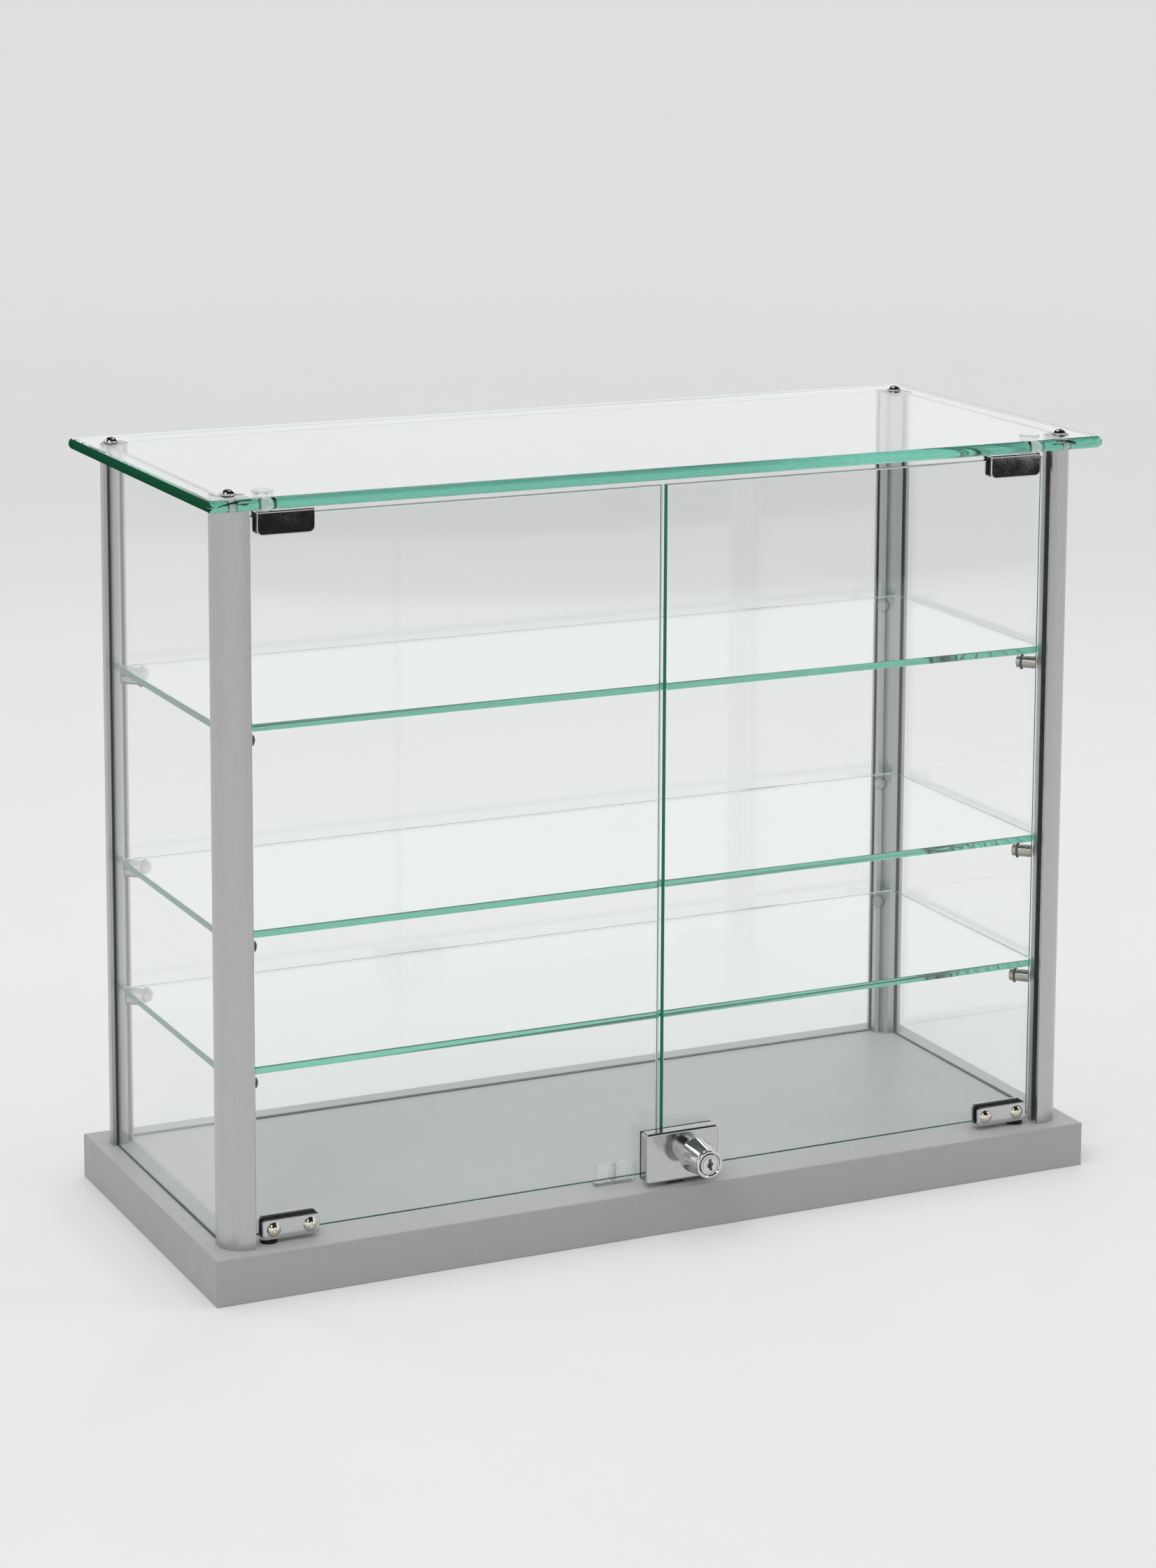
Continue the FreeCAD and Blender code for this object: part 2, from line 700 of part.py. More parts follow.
def lower_hinge(label, side):
    """Front plate, bracket behind and below the glass, liner, two screws and the pivot pin."""
    name = "lower_hinge_" + label
    xs = flip((hinge_inner, hinge_outer), side)
    zs = (lower_hinge_bottom, lower_hinge_top)
    screw_xs = [x * side for x in hinge_screw_xs]
    plate_holes = [(x - xs[0], s.lower_hinge_height / 2, hinge_screw_hole) for x in screw_xs]
    front = plate(name + "_plate", s.hinge_length, s.lower_hinge_height, s.hinge_plate, plate_holes,
                  s.hinge_plate_round)
    node(put(front, (xs[0], liner_front, zs[0]), FACING_FRONT))

    web_top = lower_hinge_bottom + s.hinge_plate
    liner_top = lower_hinge_top + s.hinge_liner_rise
    back = block(name + "_back", xs, (liner_back, hinge_back), (zs[0], liner_top + s.hinge_bracket_rise))
    web = block(name + "_web", xs, (liner_front, hinge_back), (zs[0], web_top))
    pin_hole = rod(name + "_pin_hole", (pivot_x * side, door_middle, zs[0]), pivot_bore, s.hinge_plate)
    holes = bars_through(name + "_thread", screw_xs, lower_hinge_middle, hinge_screw_hole,
                         liner_back, hinge_back)
    node(cut(name + "_bracket", fuse(name + "_angle", [back, web]), [pin_hole] + holes))

    grip = channel(name + "_grip", (xs, (liner_front, liner_back), (web_top, liner_top)),
                   (xs, (door_front, door_back), (door_bottom, liner_top)))
    holes = bars_through(name + "_liner_hole", screw_xs, lower_hinge_middle, hinge_screw_hole,
                         liner_front, liner_back)
    node(cut(name + "_liner", grip, holes))

    screws = [dome_screw(f"{name}_screw_{i}", (x, hinge_front, lower_hinge_middle), s.hinge_screw_head,
                         s.hinge_screw_dome, s.hinge_screw_shank, hinge_back - hinge_front, FACING_FRONT)
              for i, x in enumerate(screw_xs)]
    node(group(name + "_screws", screws))
    foot = base_top - s.pivot_depth
    node(rod(name + "_pin", (pivot_x * side, door_middle, foot), s.pivot_pin, web_top - foot))


def upper_hinge(label, side):
    """A clip over the top edge of the glass, its liner, two grub screws at the back and the pivot pin."""
    name = "upper_hinge_" + label
    xs = flip((hinge_inner, hinge_outer), side)
    zs = (upper_hinge_bottom, upper_hinge_top)
    web_bottom = upper_hinge_top - s.hinge_plate
    screw_xs = [x * side for x in hinge_screw_xs]
    blank = plate(name + "_blank", s.hinge_length, s.upper_hinge_height, hinge_back - hinge_front,
                  corner=s.upper_hinge_round, corners="lower")
    put(blank, (xs[0], hinge_back, zs[0]), FACING_FRONT)
    room = block(name + "_room", xs, (liner_front, liner_back), (zs[0], web_bottom))
    pin_hole = rod(name + "_pin_hole", (pivot_x * side, door_middle, web_bottom), pivot_bore, s.hinge_plate)
    holes = bars_through(name + "_thread", screw_xs, upper_hinge_middle, s.grub_screw + s.screw_clearance,
                         liner_back, hinge_back)
    node(cut(name + "_clip", blank, [room, pin_hole] + holes))

    liner_low = zs[0] + s.upper_hinge_round / 2
    node(channel(name + "_liner", (xs, (liner_front, liner_back), (liner_low, web_bottom)),
                 (xs, (door_front, door_back), (liner_low, door_top))))
    screws = bars_through(name + "_screw", screw_xs, upper_hinge_middle, s.grub_screw, liner_back,
                          hinge_back + s.grub_stand)
    node(group(name + "_screws", screws))
    node(rod(name + "_pin", (pivot_x * side, door_middle, web_bottom), s.pivot_pin,
             post_top + s.pivot_depth - s.bush_floor - web_bottom))


def base_bushes():
    bushes = []
    flange_height = s.hinge_base_gap - s.seat_clearance
    bore_bottom = base_top - s.pivot_depth - s.seat_clearance
    for side in (-1, 1):
        seat = (pivot_x * side, door_middle, base_top)
        foot = (pivot_x * side, door_middle, base_top - bush_hole_depth)
        bore_foot = (pivot_x * side, door_middle, bore_bottom)
        flange = rod(f"base_bush_flange_{side + 1}", seat, s.base_bush_flange, flange_height)
        barrel = rod(f"base_bush_barrel_{side + 1}", foot, s.base_bush_barrel, bush_hole_depth)
        bore = rod(f"base_bush_bore_{side + 1}", bore_foot, pivot_bore, lower_hinge_bottom - bore_bottom)
        blank = fuse(f"base_bush_blank_{side + 1}", [flange, barrel])
        bushes.append(cut(f"base_bush_{side + 1}", blank, [bore]))
    node(group("base_bushes", bushes))


def lock_case():
    """The case in front of both doors, with a web and a clamp plate round the right door only."""
    face = plate("lock_face", s.lock_width, s.lock_height, s.lock_depth, corner=s.lock_edge_round,
                 arris=s.lock_edge_round, faces="front")
    put(face, (lock_left, lock_back, lock_bottom), FACING_FRONT)
    clamp_xs = (door_meeting, lock_right)
    clamp_front = door_back + s.clamp_lining
    clamp_back = clamp_front + s.clamp_plate
    clamp_top = lock_bottom + s.clamp_height
    web = block("lock_web", clamp_xs, (lock_back, clamp_back), (lock_bottom, lock_bottom + s.clamp_web))
    clamp = block("lock_clamp", clamp_xs, (clamp_front, clamp_back), (lock_bottom, clamp_top))
    clearance = s.slide_clearance
    bolt_room = block("bolt_room", (bolt_xs[0] - clearance, bolt_xs[1] + clearance),
                      (bolt_ys[0] - clearance, lock_back), (lock_bottom, bolt_top + clearance))
    axis_end = (lock_x, lock_back, lock_z)
    cam_depth = lock_back - lock_front - s.lock_wall
    cam_room = rod("cam_room", axis_end, cam_diameter + clearance * 2, cam_depth, FACING_FRONT)
    shaft_bore = rod("case_bore", axis_end, plug_bore, s.lock_depth, FACING_FRONT)
    screw_xs = (clamp_xs[0] + s.clamp_screw_inset, clamp_xs[1] - s.clamp_screw_inset)
    screw_z = lock_bottom + s.clamp_screw_rise
    threads = bars_through("clamp_thread", screw_xs, screw_z, s.clamp_screw + s.screw_clearance,
                           clamp_front, clamp_back)
    blank = fuse("lock_blank", [face, web, clamp])
    node(cut("lock_case", blank, [bolt_room, cam_room, shaft_bore] + threads))

    border = s.lining_border
    lining_zs = (lock_bottom + s.clamp_web, lock_top - border)
    left_ys = (lock_back, door_front - s.lining_door_gap)
    over_left = block("lining_left", (lock_left + border, door_meeting), left_ys, lining_zs)
    right_ys = (lock_back, door_front)
    over_right = block("lining_right", (door_meeting, lock_right - border), right_ys, lining_zs)
    inside = block("lining_back", clamp_xs, (door_back, clamp_front), (door_bottom, clamp_top))
    node(group("lock_lining", [fuse("lining_front", [over_left, over_right]), inside]))
    screws = bars_through("clamp_screw", screw_xs, screw_z, s.clamp_screw,
                          clamp_front, clamp_back + s.grub_stand)
    node(group("lock_clamp_screws", screws))


def lock_barrel():
    """The collar and the tapered knob that the door is pulled by, bored for the key plug."""
    collar_seat = (lock_x, lock_front, lock_z)
    collar = rod("collar_blank", collar_seat, s.collar_diameter, s.collar_length, FACING_FRONT)
    collar_bore = rod("collar_bore", collar_seat, plug_bore, s.collar_length, FACING_FRONT)
    node(cut("lock_collar", collar, [collar_bore]))

    knob_back = lock_front - s.collar_length
    lip_back = knob_back - s.knob_length
    knob_front = lip_back - s.knob_lip_length
    knob_seat = (lock_x, knob_back, lock_z)
    body = taper("knob_body", knob_seat, s.knob_back_diameter, s.knob_front_diameter, s.knob_length,
                 FACING_FRONT)
    lip = rod("knob_lip", (lock_x, lip_back, lock_z), s.knob_lip_diameter, s.knob_lip_length, FACING_FRONT)
    through = rod("knob_bore", knob_seat, plug_bore, knob_back - knob_front, FACING_FRONT)
    head_back = knob_front + s.plug_head_length
    head_seat = (lock_x, head_back, lock_z)
    head_room = s.plug_head + s.running_clearance * 2
    recess = rod("knob_recess", head_seat, head_room, s.plug_head_length, FACING_FRONT)
    node(cut("lock_knob", fuse("knob_blank", [body, lip]), [through, recess]))

    shoulder = head_back - s.slide_clearance
    plug_front = knob_front - s.slide_clearance
    head = rod("plug_head_blank", (lock_x, shoulder, lock_z), s.plug_head, s.plug_head_length, FACING_FRONT)
    tail = (lock_x, cam_front, lock_z)
    shaft = rod("plug_shaft_blank", tail, s.plug_shaft, cam_front - shoulder, FACING_FRONT)
    keyway = block("keyway", (lock_x - s.keyway_width / 2, lock_x + s.keyway_width / 2),
                   (plug_front, plug_front + s.keyway_depth),
                   (lock_z - s.keyway_height / 2, lock_z + s.keyway_height / 2))
    node(cut("key_plug", fuse("plug_blank", [head, shaft]), [keyway]))


def lock_drive():
    """The cam on the plug, with its pin up and left of the axis at rest, and the bolt that it moves."""
    start = cam_radius / math.sqrt(2)
    disc_back = (lock_x, cam_front + s.cam_thickness, lock_z)
    disc = rod("cam_disc", disc_back, cam_diameter, s.cam_thickness, FACING_FRONT)
    pin_back = (lock_x - start, bolt_ys[1] - s.slide_clearance, lock_z + start)
    pin = rod("cam_pin", pin_back, s.cam_pin, pin_back[1] - cam_front, FACING_FRONT)
    node(fuse("lock_cam", [disc, pin]))

    bar = block("bolt_bar", bolt_xs, bolt_ys, (bolt_bottom, bolt_top))
    half_slot = s.cam_pin / 2 + s.cam_pin_play
    slot_xs = (lock_x - cam_radius - half_slot, lock_x - start + half_slot)
    slot_zs = (lock_z + start - half_slot, lock_z + start + half_slot)
    node(cut("lock_bolt", bar, [block("bolt_slot", slot_xs, bolt_ys, slot_zs)]))


def door_stop():
    """The clear stop behind the left door, held by one screw down into the board."""
    xs = (stop_left, stop_right)
    wall_ys = (stop_front, stop_front + s.stop_wall)
    wall = block("stop_upright", xs, wall_ys, (base_top, base_top + s.stop_height))
    foot_ys = (stop_front, stop_front + s.stop_depth)
    foot = block("stop_base", xs, foot_ys, (base_top, base_top + s.stop_foot))
    stand = (stop_x, stop_y, base_top)
    boss = rod("stop_boss_blank", stand, s.stop_boss, s.stop_boss_height)
    bore = rod("stop_hole", stand, s.stop_screw + s.screw_clearance, s.stop_boss_height)
    node(cut("door_stop", fuse("stop_blank", [wall, foot, boss]), [bore]))
    seat = (stop_x, stop_y, base_top + s.stop_boss_height)
    node(dome_screw("door_stop_screw", seat, s.stop_screw_head, s.stop_screw_dome, s.stop_screw,
                    s.stop_boss_height + s.stop_screw_grip, UPRIGHT))


base_pieces()
post_pieces()
fixed_glass()
top_pieces()
base_bushes()
for shelf_label, shelf_rise in (("lower", s.lower_shelf_rise), ("middle", s.middle_shelf_rise),
                                ("upper", s.upper_shelf_rise)):
    shelf_pieces(shelf_label, shelf_rise)
for door_label, door_side in (("left", -1), ("right", 1)):
    door_glass(door_label, door_side)
    lower_hinge(door_label, door_side)
    upper_hinge(door_label, door_side)
lock_case()
lock_barrel()
lock_drive()
door_stop()
doc.recompute()

for thing in doc.Objects:
    if "Invalid" in thing.State or "Error" in thing.State:
        raise RuntimeError(f"{thing.Label} did not rebuild: {thing.State}")
for thing in nodes:
    if thing.Shape.isNull() or not thing.Shape.isValid() or not thing.Shape.Solids:
        raise RuntimeError(f"{thing.Label} has no valid solid")

os.makedirs("parts", exist_ok=True)
for thing in nodes:
    thing.Shape.exportStep(f"parts/{thing.Label}.step")
    print(thing.Label, len(thing.Shape.Solids), round(thing.Shape.Volume))
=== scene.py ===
import math
import bmesh
import bpy
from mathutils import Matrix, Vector


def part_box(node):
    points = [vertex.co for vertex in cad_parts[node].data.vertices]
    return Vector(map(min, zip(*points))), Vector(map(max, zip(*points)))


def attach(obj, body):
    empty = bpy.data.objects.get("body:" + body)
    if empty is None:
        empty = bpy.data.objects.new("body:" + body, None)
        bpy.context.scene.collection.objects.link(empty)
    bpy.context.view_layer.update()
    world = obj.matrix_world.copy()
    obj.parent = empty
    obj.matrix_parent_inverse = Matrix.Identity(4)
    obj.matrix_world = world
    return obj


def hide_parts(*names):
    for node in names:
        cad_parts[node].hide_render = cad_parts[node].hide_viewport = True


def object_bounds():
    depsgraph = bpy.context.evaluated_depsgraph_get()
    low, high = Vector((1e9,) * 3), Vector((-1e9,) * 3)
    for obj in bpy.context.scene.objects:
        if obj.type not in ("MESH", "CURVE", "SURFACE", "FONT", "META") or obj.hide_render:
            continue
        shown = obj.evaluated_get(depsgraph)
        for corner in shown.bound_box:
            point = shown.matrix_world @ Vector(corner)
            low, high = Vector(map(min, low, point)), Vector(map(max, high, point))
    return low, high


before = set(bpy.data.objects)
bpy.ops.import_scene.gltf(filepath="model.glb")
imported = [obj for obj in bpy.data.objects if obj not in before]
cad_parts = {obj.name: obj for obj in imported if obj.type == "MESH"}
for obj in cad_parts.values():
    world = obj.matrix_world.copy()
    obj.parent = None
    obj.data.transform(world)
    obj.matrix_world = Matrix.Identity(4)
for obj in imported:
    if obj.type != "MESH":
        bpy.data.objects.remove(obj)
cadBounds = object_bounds()
scene = bpy.context.scene
print("frame loaded:", len(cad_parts), "nodes")


# modelling helpers, all in metres

past = 0.005  # how far a drill runs past the faces of a piece

def clearSelection():
    if bpy.context.mode != "OBJECT":
        bpy.ops.object.mode_set(mode="OBJECT")
    bpy.ops.object.select_all(action="DESELECT")


def wake(piece):
    clearSelection()
    piece.select_set(True)
    bpy.context.view_layer.objects.active = piece


def settle(name):  # names the new primitive and puts its place into its mesh
    piece = bpy.context.active_object
    piece.name = name
    piece.data.name = name
    bpy.ops.object.transform_apply(location=True, rotation=True, scale=True)
    return piece


def startBlock(name, low, high):
    clearSelection()
    low, high = Vector(low), Vector(high)
    bpy.ops.mesh.primitive_cube_add(size=1, location=(low + high) / 2, scale=high - low)
    return settle(name)


def startRod(name, start, end, radius, sides=48):
    clearSelection()
    start, end = Vector(start), Vector(end)
    turn = (end - start).to_track_quat("Z", "Y").to_euler()
    bpy.ops.mesh.primitive_cylinder_add(vertices=sides, radius=radius, depth=(end - start).length,
                                        location=(start + end) / 2, rotation=turn)
    return settle(name)


def pickEdges(piece, wanted):
    wake(piece)
    bpy.ops.object.mode_set(mode="EDIT")
    bpy.ops.mesh.select_mode(type="EDGE")
    bpy.ops.mesh.select_all(action="DESELECT")
    mesh = bmesh.from_edit_mesh(piece.data)
    for edge in mesh.edges:
        edge.select_set(wanted(edge))
    bmesh.update_edit_mesh(piece.data)


def roundEdges(piece, wanted, size, steps):
    pickEdges(piece, wanted)
    bpy.ops.mesh.bevel(offset=size, segments=steps, profile=0.5, affect="EDGES", clamp_overlap=True)
    bpy.ops.object.mode_set(mode="OBJECT")


def runsAlong(edge, axis):
    a, b = (v.co for v in edge.verts)
    return abs((b - a).normalized()[axis]) > 0.99


def atTop(axis, height):  # edges along an axis that lie at this height
    return lambda edge: runsAlong(edge, axis) and min(v.co.z for v in edge.verts) > height - 1e-5


def sharpEdge(edge):
    return len(edge.link_faces) == 2 and edge.calc_face_angle() > math.radians(30)


def combine(piece, other, operation):  # boolean, applied, and the other piece is thrown away
    wake(piece)
    bpy.ops.object.modifier_add(type="BOOLEAN")
    step = piece.modifiers[-1]
    step.object = other
    step.operation = operation
    step.solver = "EXACT"
    bpy.ops.object.modifier_apply(modifier=step.name)
    bpy.data.objects.remove(other)


def cutAway(piece, cutter):
    combine(piece, cutter, "DIFFERENCE")


def drill(piece, start, end, radius):
    cutAway(piece, startRod("drill", start, end, radius, 40))


def weld(piece, other):
    combine(piece, other, "UNION")


def turnUp(name, seat, axis, steps, sides=64):  # turned piece: distance along its axis and radius, ring after ring
    clearSelection()
    seat, axis = Vector(seat), Vector(axis)
    distance, radius = steps[0]
    bpy.ops.mesh.primitive_circle_add(vertices=sides, radius=radius, fill_type="NGON", location=seat + axis * distance,
                                      rotation=axis.to_track_quat("Z", "Y").to_euler())
    piece = settle(name)
    bpy.ops.object.mode_set(mode="EDIT")
    bpy.ops.mesh.select_all(action="SELECT")
    for nextDistance, nextRadius in steps[1:]:
        bpy.ops.mesh.extrude_region_move(TRANSFORM_OT_translate={"value": axis * (nextDistance - distance)})
        grow = nextRadius / radius
        bpy.ops.transform.resize(value=(grow, grow, grow), center_override=seat + axis * nextDistance)
        distance, radius = nextDistance, nextRadius
    bpy.ops.mesh.select_all(action="SELECT")
    bpy.ops.mesh.normals_make_consistent(inside=False)
    bpy.ops.object.mode_set(mode="OBJECT")
    return piece


def pushOut(piece, splitAxis, splitAt, faceAxis, faceAt, move):  # splits a face across and extrudes its lower part
    wake(piece)
    bpy.ops.object.mode_set(mode="EDIT")
    bpy.ops.mesh.select_all(action="SELECT")
    place, normal = [0, 0, 0], [0, 0, 0]
    place[splitAxis], normal[splitAxis] = splitAt, 1
    bpy.ops.mesh.bisect(plane_co=place, plane_no=normal)
    bpy.ops.mesh.select_mode(type="FACE")
    bpy.ops.mesh.select_all(action="DESELECT")
    mesh = bmesh.from_edit_mesh(piece.data)
    for face in mesh.faces:
        onFace = all(abs(v.co[faceAxis] - faceAt) < 1e-6 for v in face.verts)
        face.select_set(onFace and face.calc_center_median()[splitAxis] < splitAt)
    bmesh.update_edit_mesh(piece.data)
    bpy.ops.mesh.extrude_region_move(TRANSFORM_OT_translate={"value": move})
    bpy.ops.mesh.select_all(action="SELECT")
    bpy.ops.mesh.normals_make_consistent(inside=False)
    bpy.ops.object.mode_set(mode="OBJECT")


def layFront(piece):  # tips an upright piece over to face the front
    wake(piece)
    piece.rotation_euler = (math.radians(90), 0, 0)
    bpy.ops.object.transform_apply(location=False, rotation=True, scale=False)


def copyTo(piece, name, place, turn=0.0):
    wake(piece)
    bpy.ops.object.duplicate()
    twin = bpy.context.active_object
    twin.rotation_euler = (0, 0, turn)
    twin.location = place
    return settle(name)


def joinUp(name, pieces):
    wake(pieces[0])
    for piece in pieces:
        piece.select_set(True)
    bpy.ops.object.join()
    return settle(name)


def smoothOff(piece, angle=40):
    wake(piece)
    bpy.ops.object.shade_smooth_by_angle(angle=math.radians(angle))
    bpy.ops.object.modifier_add(type="WEIGHTED_NORMAL")
    flat = piece.modifiers[-1]
    flat.keep_sharp = True
    flat.weight = 80
    bpy.ops.object.modifier_apply(modifier=flat.name)
    return piece


def fit(piece, body, finish, slot, *nodes):  # finish, body and the CAD nodes that it stands for
    piece.data.materials.clear()
    piece.data.materials.append(finish)
    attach(piece, body)
    if nodes:
        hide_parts(*nodes)
    return piece


# node groups that several finishes share

def makeGroup(name, inputs):
    group = bpy.data.node_groups.new(name, "ShaderNodeTree")
    for label, kind, value in inputs:
        socket = group.interface.new_socket(label, in_out="INPUT", socket_type=kind)
        socket.default_value = value
    group.interface.new_socket("Value", in_out="OUTPUT", socket_type="NodeSocketFloat")
    group.interface.new_socket("Mask", in_out="OUTPUT", socket_type="NodeSocketFloat")
    return group, group.nodes, group.links, group.nodes.new("NodeGroupInput"), group.nodes.new("NodeGroupOutput")


def spread(nodes, links, value, low, high, out, fromLow=0.3, fromHigh=0.7):
    span = nodes.new("ShaderNodeMapRange")
    span.inputs["From Min"].default_value = fromLow
    span.inputs["From Max"].default_value = fromHigh
    links.new(value, span.inputs["Value"])
    links.new(low, span.inputs["To Min"])
    links.new(high, span.inputs["To Max"])
    links.new(span.outputs["Result"], out)


def makeGrain():  # fine even grain, drawn out along an axis by Stretch
    group, nodes, links, given, out = makeGroup("fineGrain", [
        ("Scale", "NodeSocketFloat", 600.0), ("Stretch", "NodeSocketVector", (1, 1, 1)),
        ("Low", "NodeSocketFloat", 0.0), ("High", "NodeSocketFloat", 1.0)])
    place = nodes.new("ShaderNodeTexCoord")
    drawn = nodes.new("ShaderNodeVectorMath")
    drawn.operation = "MULTIPLY"
    noise = nodes.new("ShaderNodeTexNoise")
    noise.inputs["Detail"].default_value = 3
    links.new(place.outputs["Object"], drawn.inputs[0])
    links.new(given.outputs["Stretch"], drawn.inputs[1])
    links.new(drawn.outputs["Vector"], noise.inputs["Vector"])
    links.new(given.outputs["Scale"], noise.inputs["Scale"])
    spread(nodes, links, noise.outputs["Fac"], given.outputs["Low"], given.outputs["High"], out.inputs["Value"])
    links.new(noise.outputs["Fac"], out.inputs["Mask"])
    return group


def makeHandling():  # broad soft marks from handling and cleaning
    group, nodes, links, given, out = makeGroup("handlingMarks", [
        ("Scale", "NodeSocketFloat", 14.0), ("Low", "NodeSocketFloat", 0.0), ("High", "NodeSocketFloat", 1.0)])
    place = nodes.new("ShaderNodeTexCoord")
    broad = nodes.new("ShaderNodeTexNoise")
    broad.inputs["Detail"].default_value = 5
    broad.inputs["Distortion"].default_value = 0.6
    fine = nodes.new("ShaderNodeTexNoise")
    fine.inputs["Detail"].default_value = 2
    larger = nodes.new("ShaderNodeMath")
    larger.operation = "MULTIPLY"
    larger.inputs[1].default_value = 9
    both = nodes.new("ShaderNodeMath")
    both.operation = "MULTIPLY"
    links.new(place.outputs["Object"], broad.inputs["Vector"])
    links.new(place.outputs["Object"], fine.inputs["Vector"])
    links.new(given.outputs["Scale"], broad.inputs["Scale"])
    links.new(given.outputs["Scale"], larger.inputs[0])
    links.new(larger.outputs["Value"], fine.inputs["Scale"])
    links.new(broad.outputs["Fac"], both.inputs[0])
    links.new(fine.outputs["Fac"], both.inputs[1])
    spread(nodes, links, both.outputs["Value"], given.outputs["Low"], given.outputs["High"], out.inputs["Value"],
           0.15, 0.4)
    links.new(both.outputs["Value"], out.inputs["Mask"])
    return group


grainGroup = makeGrain()
handlingGroup = makeHandling()


# finishes

def newFinish(name):
    finish = bpy.data.materials.new(name)
    finish.use_nodes = True
    tree = finish.node_tree
    return finish, tree.nodes, tree.links, tree.nodes["Principled BSDF"]


def addGroup(nodes, group, **values):
    node = nodes.new("ShaderNodeGroup")
    node.node_tree = group
    for label, value in values.items():
        node.inputs[label].default_value = value
    return node


def blendColours(nodes, links, value, first, second, socket):
    ramp = nodes.new("ShaderNodeValToRGB")
    ramp.color_ramp.elements[0].color = (*first, 1)
    ramp.color_ramp.elements[1].color = (*second, 1)
    links.new(value, ramp.inputs["Fac"])
    links.new(ramp.outputs["Color"], socket)


def bumpFrom(nodes, links, value, strength, distance, shader):
    bump = nodes.new("ShaderNodeBump")
    bump.inputs["Strength"].default_value = strength
    bump.inputs["Distance"].default_value = distance
    links.new(value, bump.inputs["Height"])
    links.new(bump.outputs["Normal"], shader.inputs["Normal"])


def grainyFinish(name, look):  # opaque finish: grain in the colour and bump, handling marks in the roughness
    finish, nodes, links, shader = newFinish(name)
    grain = addGroup(nodes, grainGroup, Scale=look["grain"], Stretch=look.get("stretch", (1, 1, 1)))
    marks = addGroup(nodes, handlingGroup, Scale=look.get("marks", 14), Low=look["rough"][0], High=look["rough"][1])
    blendColours(nodes, links, grain.outputs["Value"], *look["colours"], shader.inputs["Base Color"])
    links.new(marks.outputs["Value"], shader.inputs["Roughness"])
    bumpFrom(nodes, links, grain.outputs["Mask"], look.get("bump", 0.1), look.get("depth", 0.0002), shader)
    shader.inputs["Metallic"].default_value = look.get("metal", 0.0)
    shader.inputs["Specular IOR Level"].default_value = look.get("specular", 0.5)
    shader.inputs["Coat Weight"].default_value = look.get("coat", 0.0)
    return finish


def clearFinish(name, look):  # clear glass or plastic that lets lamps through, tinted by its thickness
    finish, nodes, links, shader = newFinish(name)
    marks = addGroup(nodes, handlingGroup, Scale=look["marks"], Low=look["rough"][0], High=look["rough"][1])
    links.new(marks.outputs["Value"], shader.inputs["Roughness"])
    shader.inputs["Base Color"].default_value = (*look["colour"], 1)
    surface = shader.outputs["BSDF"]
    if "paintedEdgeColour" in look:  # painted edge colour in place of light running along the sheet: ground edges are greener than the faces, partly the glass's own green and partly painted shade, and those seen end on are painted full of dark green
        edges = nodes.new("ShaderNodeAttribute")
        edges.attribute_name = look["paintedEdgeColour"]
        links.new(edges.outputs["Color"], shader.inputs["Base Color"])
        # opaque painted edge: the glass's green with painted shade, standing in for light running along the sheet
        paintedEdge = nodes.new("ShaderNodeBsdfPrincipled")
        paintedEdge.inputs["Specular IOR Level"].default_value = 0.0
        links.new(edges.outputs["Color"], paintedEdge.inputs["Base Color"])
        links.new(marks.outputs["Value"], paintedEdge.inputs["Roughness"])
        sides = nodes.new("ShaderNodeNewGeometry")
        outside = nodes.new("ShaderNodeMath")
        outside.operation = "SUBTRACT"
        outside.use_clamp = True
        links.new(edges.outputs["Alpha"], outside.inputs[0])
        links.new(sides.outputs["Backfacing"], outside.inputs[1])
        ends = nodes.new("ShaderNodeMixShader")
        links.new(outside.outputs["Value"], ends.inputs["Fac"])
        links.new(surface, ends.inputs[1])
        links.new(paintedEdge.outputs["BSDF"], ends.inputs[2])
        surface = ends.outputs["Shader"]
    shader.inputs["Transmission Weight"].default_value = look.get("clear", 1.0)
    shader.inputs["IOR"].default_value = look["ior"]
    path = nodes.new("ShaderNodeLightPath")
    either = nodes.new("ShaderNodeMath")
    either.operation = "MAXIMUM"
    through = nodes.new("ShaderNodeBsdfTransparent")
    through.inputs["Color"].default_value = (*look["passing"], 1)
    mix = nodes.new("ShaderNodeMixShader")
    links.new(path.outputs["Is Shadow Ray"], either.inputs[0])
    links.new(path.outputs["Is Diffuse Ray"], either.inputs[1])
    links.new(either.outputs["Value"], mix.inputs["Fac"])
    links.new(surface, mix.inputs[1])
    links.new(through.outputs["BSDF"], mix.inputs[2])
    links.new(mix.outputs["Shader"], nodes["Material Output"].inputs["Surface"])
    if "density" in look:
        inside = nodes.new("ShaderNodeVolumeAbsorption")
        inside.inputs["Color"].default_value = (*look["absorbing"], 1)
        inside.inputs["Density"].default_value = look["density"]
        links.new(inside.outputs["Volume"], nodes["Material Output"].inputs["Volume"])
    return finish


silverLaminate = grainyFinish("silverLaminate", {
    "grain": 1400, "colours": ((0.445, 0.445, 0.445), (0.495, 0.495, 0.495)), "rough": (0.36, 0.48), "marks": 9,
    "bump": 0.12, "depth": 0.0001})
silverBand = grainyFinish("silverBand", {
    "grain": 1400, "colours": ((0.335, 0.335, 0.34), (0.385, 0.385, 0.39)), "rough": (0.36, 0.48), "marks": 9,
    "bump": 0.12, "depth": 0.0001})
satinAluminium = grainyFinish("satinAluminium", {
    "grain": 1800, "stretch": (1, 1, 0.02), "colours": ((0.49, 0.49, 0.495), (0.53, 0.53, 0.535)),
    "rough": (0.33, 0.39), "marks": 8, "bump": 0.03, "depth": 0.00003, "metal": 1.0})
polishedChrome = grainyFinish("polishedChrome", {
    "grain": 500, "colours": ((0.64, 0.64, 0.65), (0.70, 0.70, 0.71)), "rough": (0.03, 0.08), "marks": 60,
    "bump": 0.02, "depth": 0.00003, "metal": 1.0})
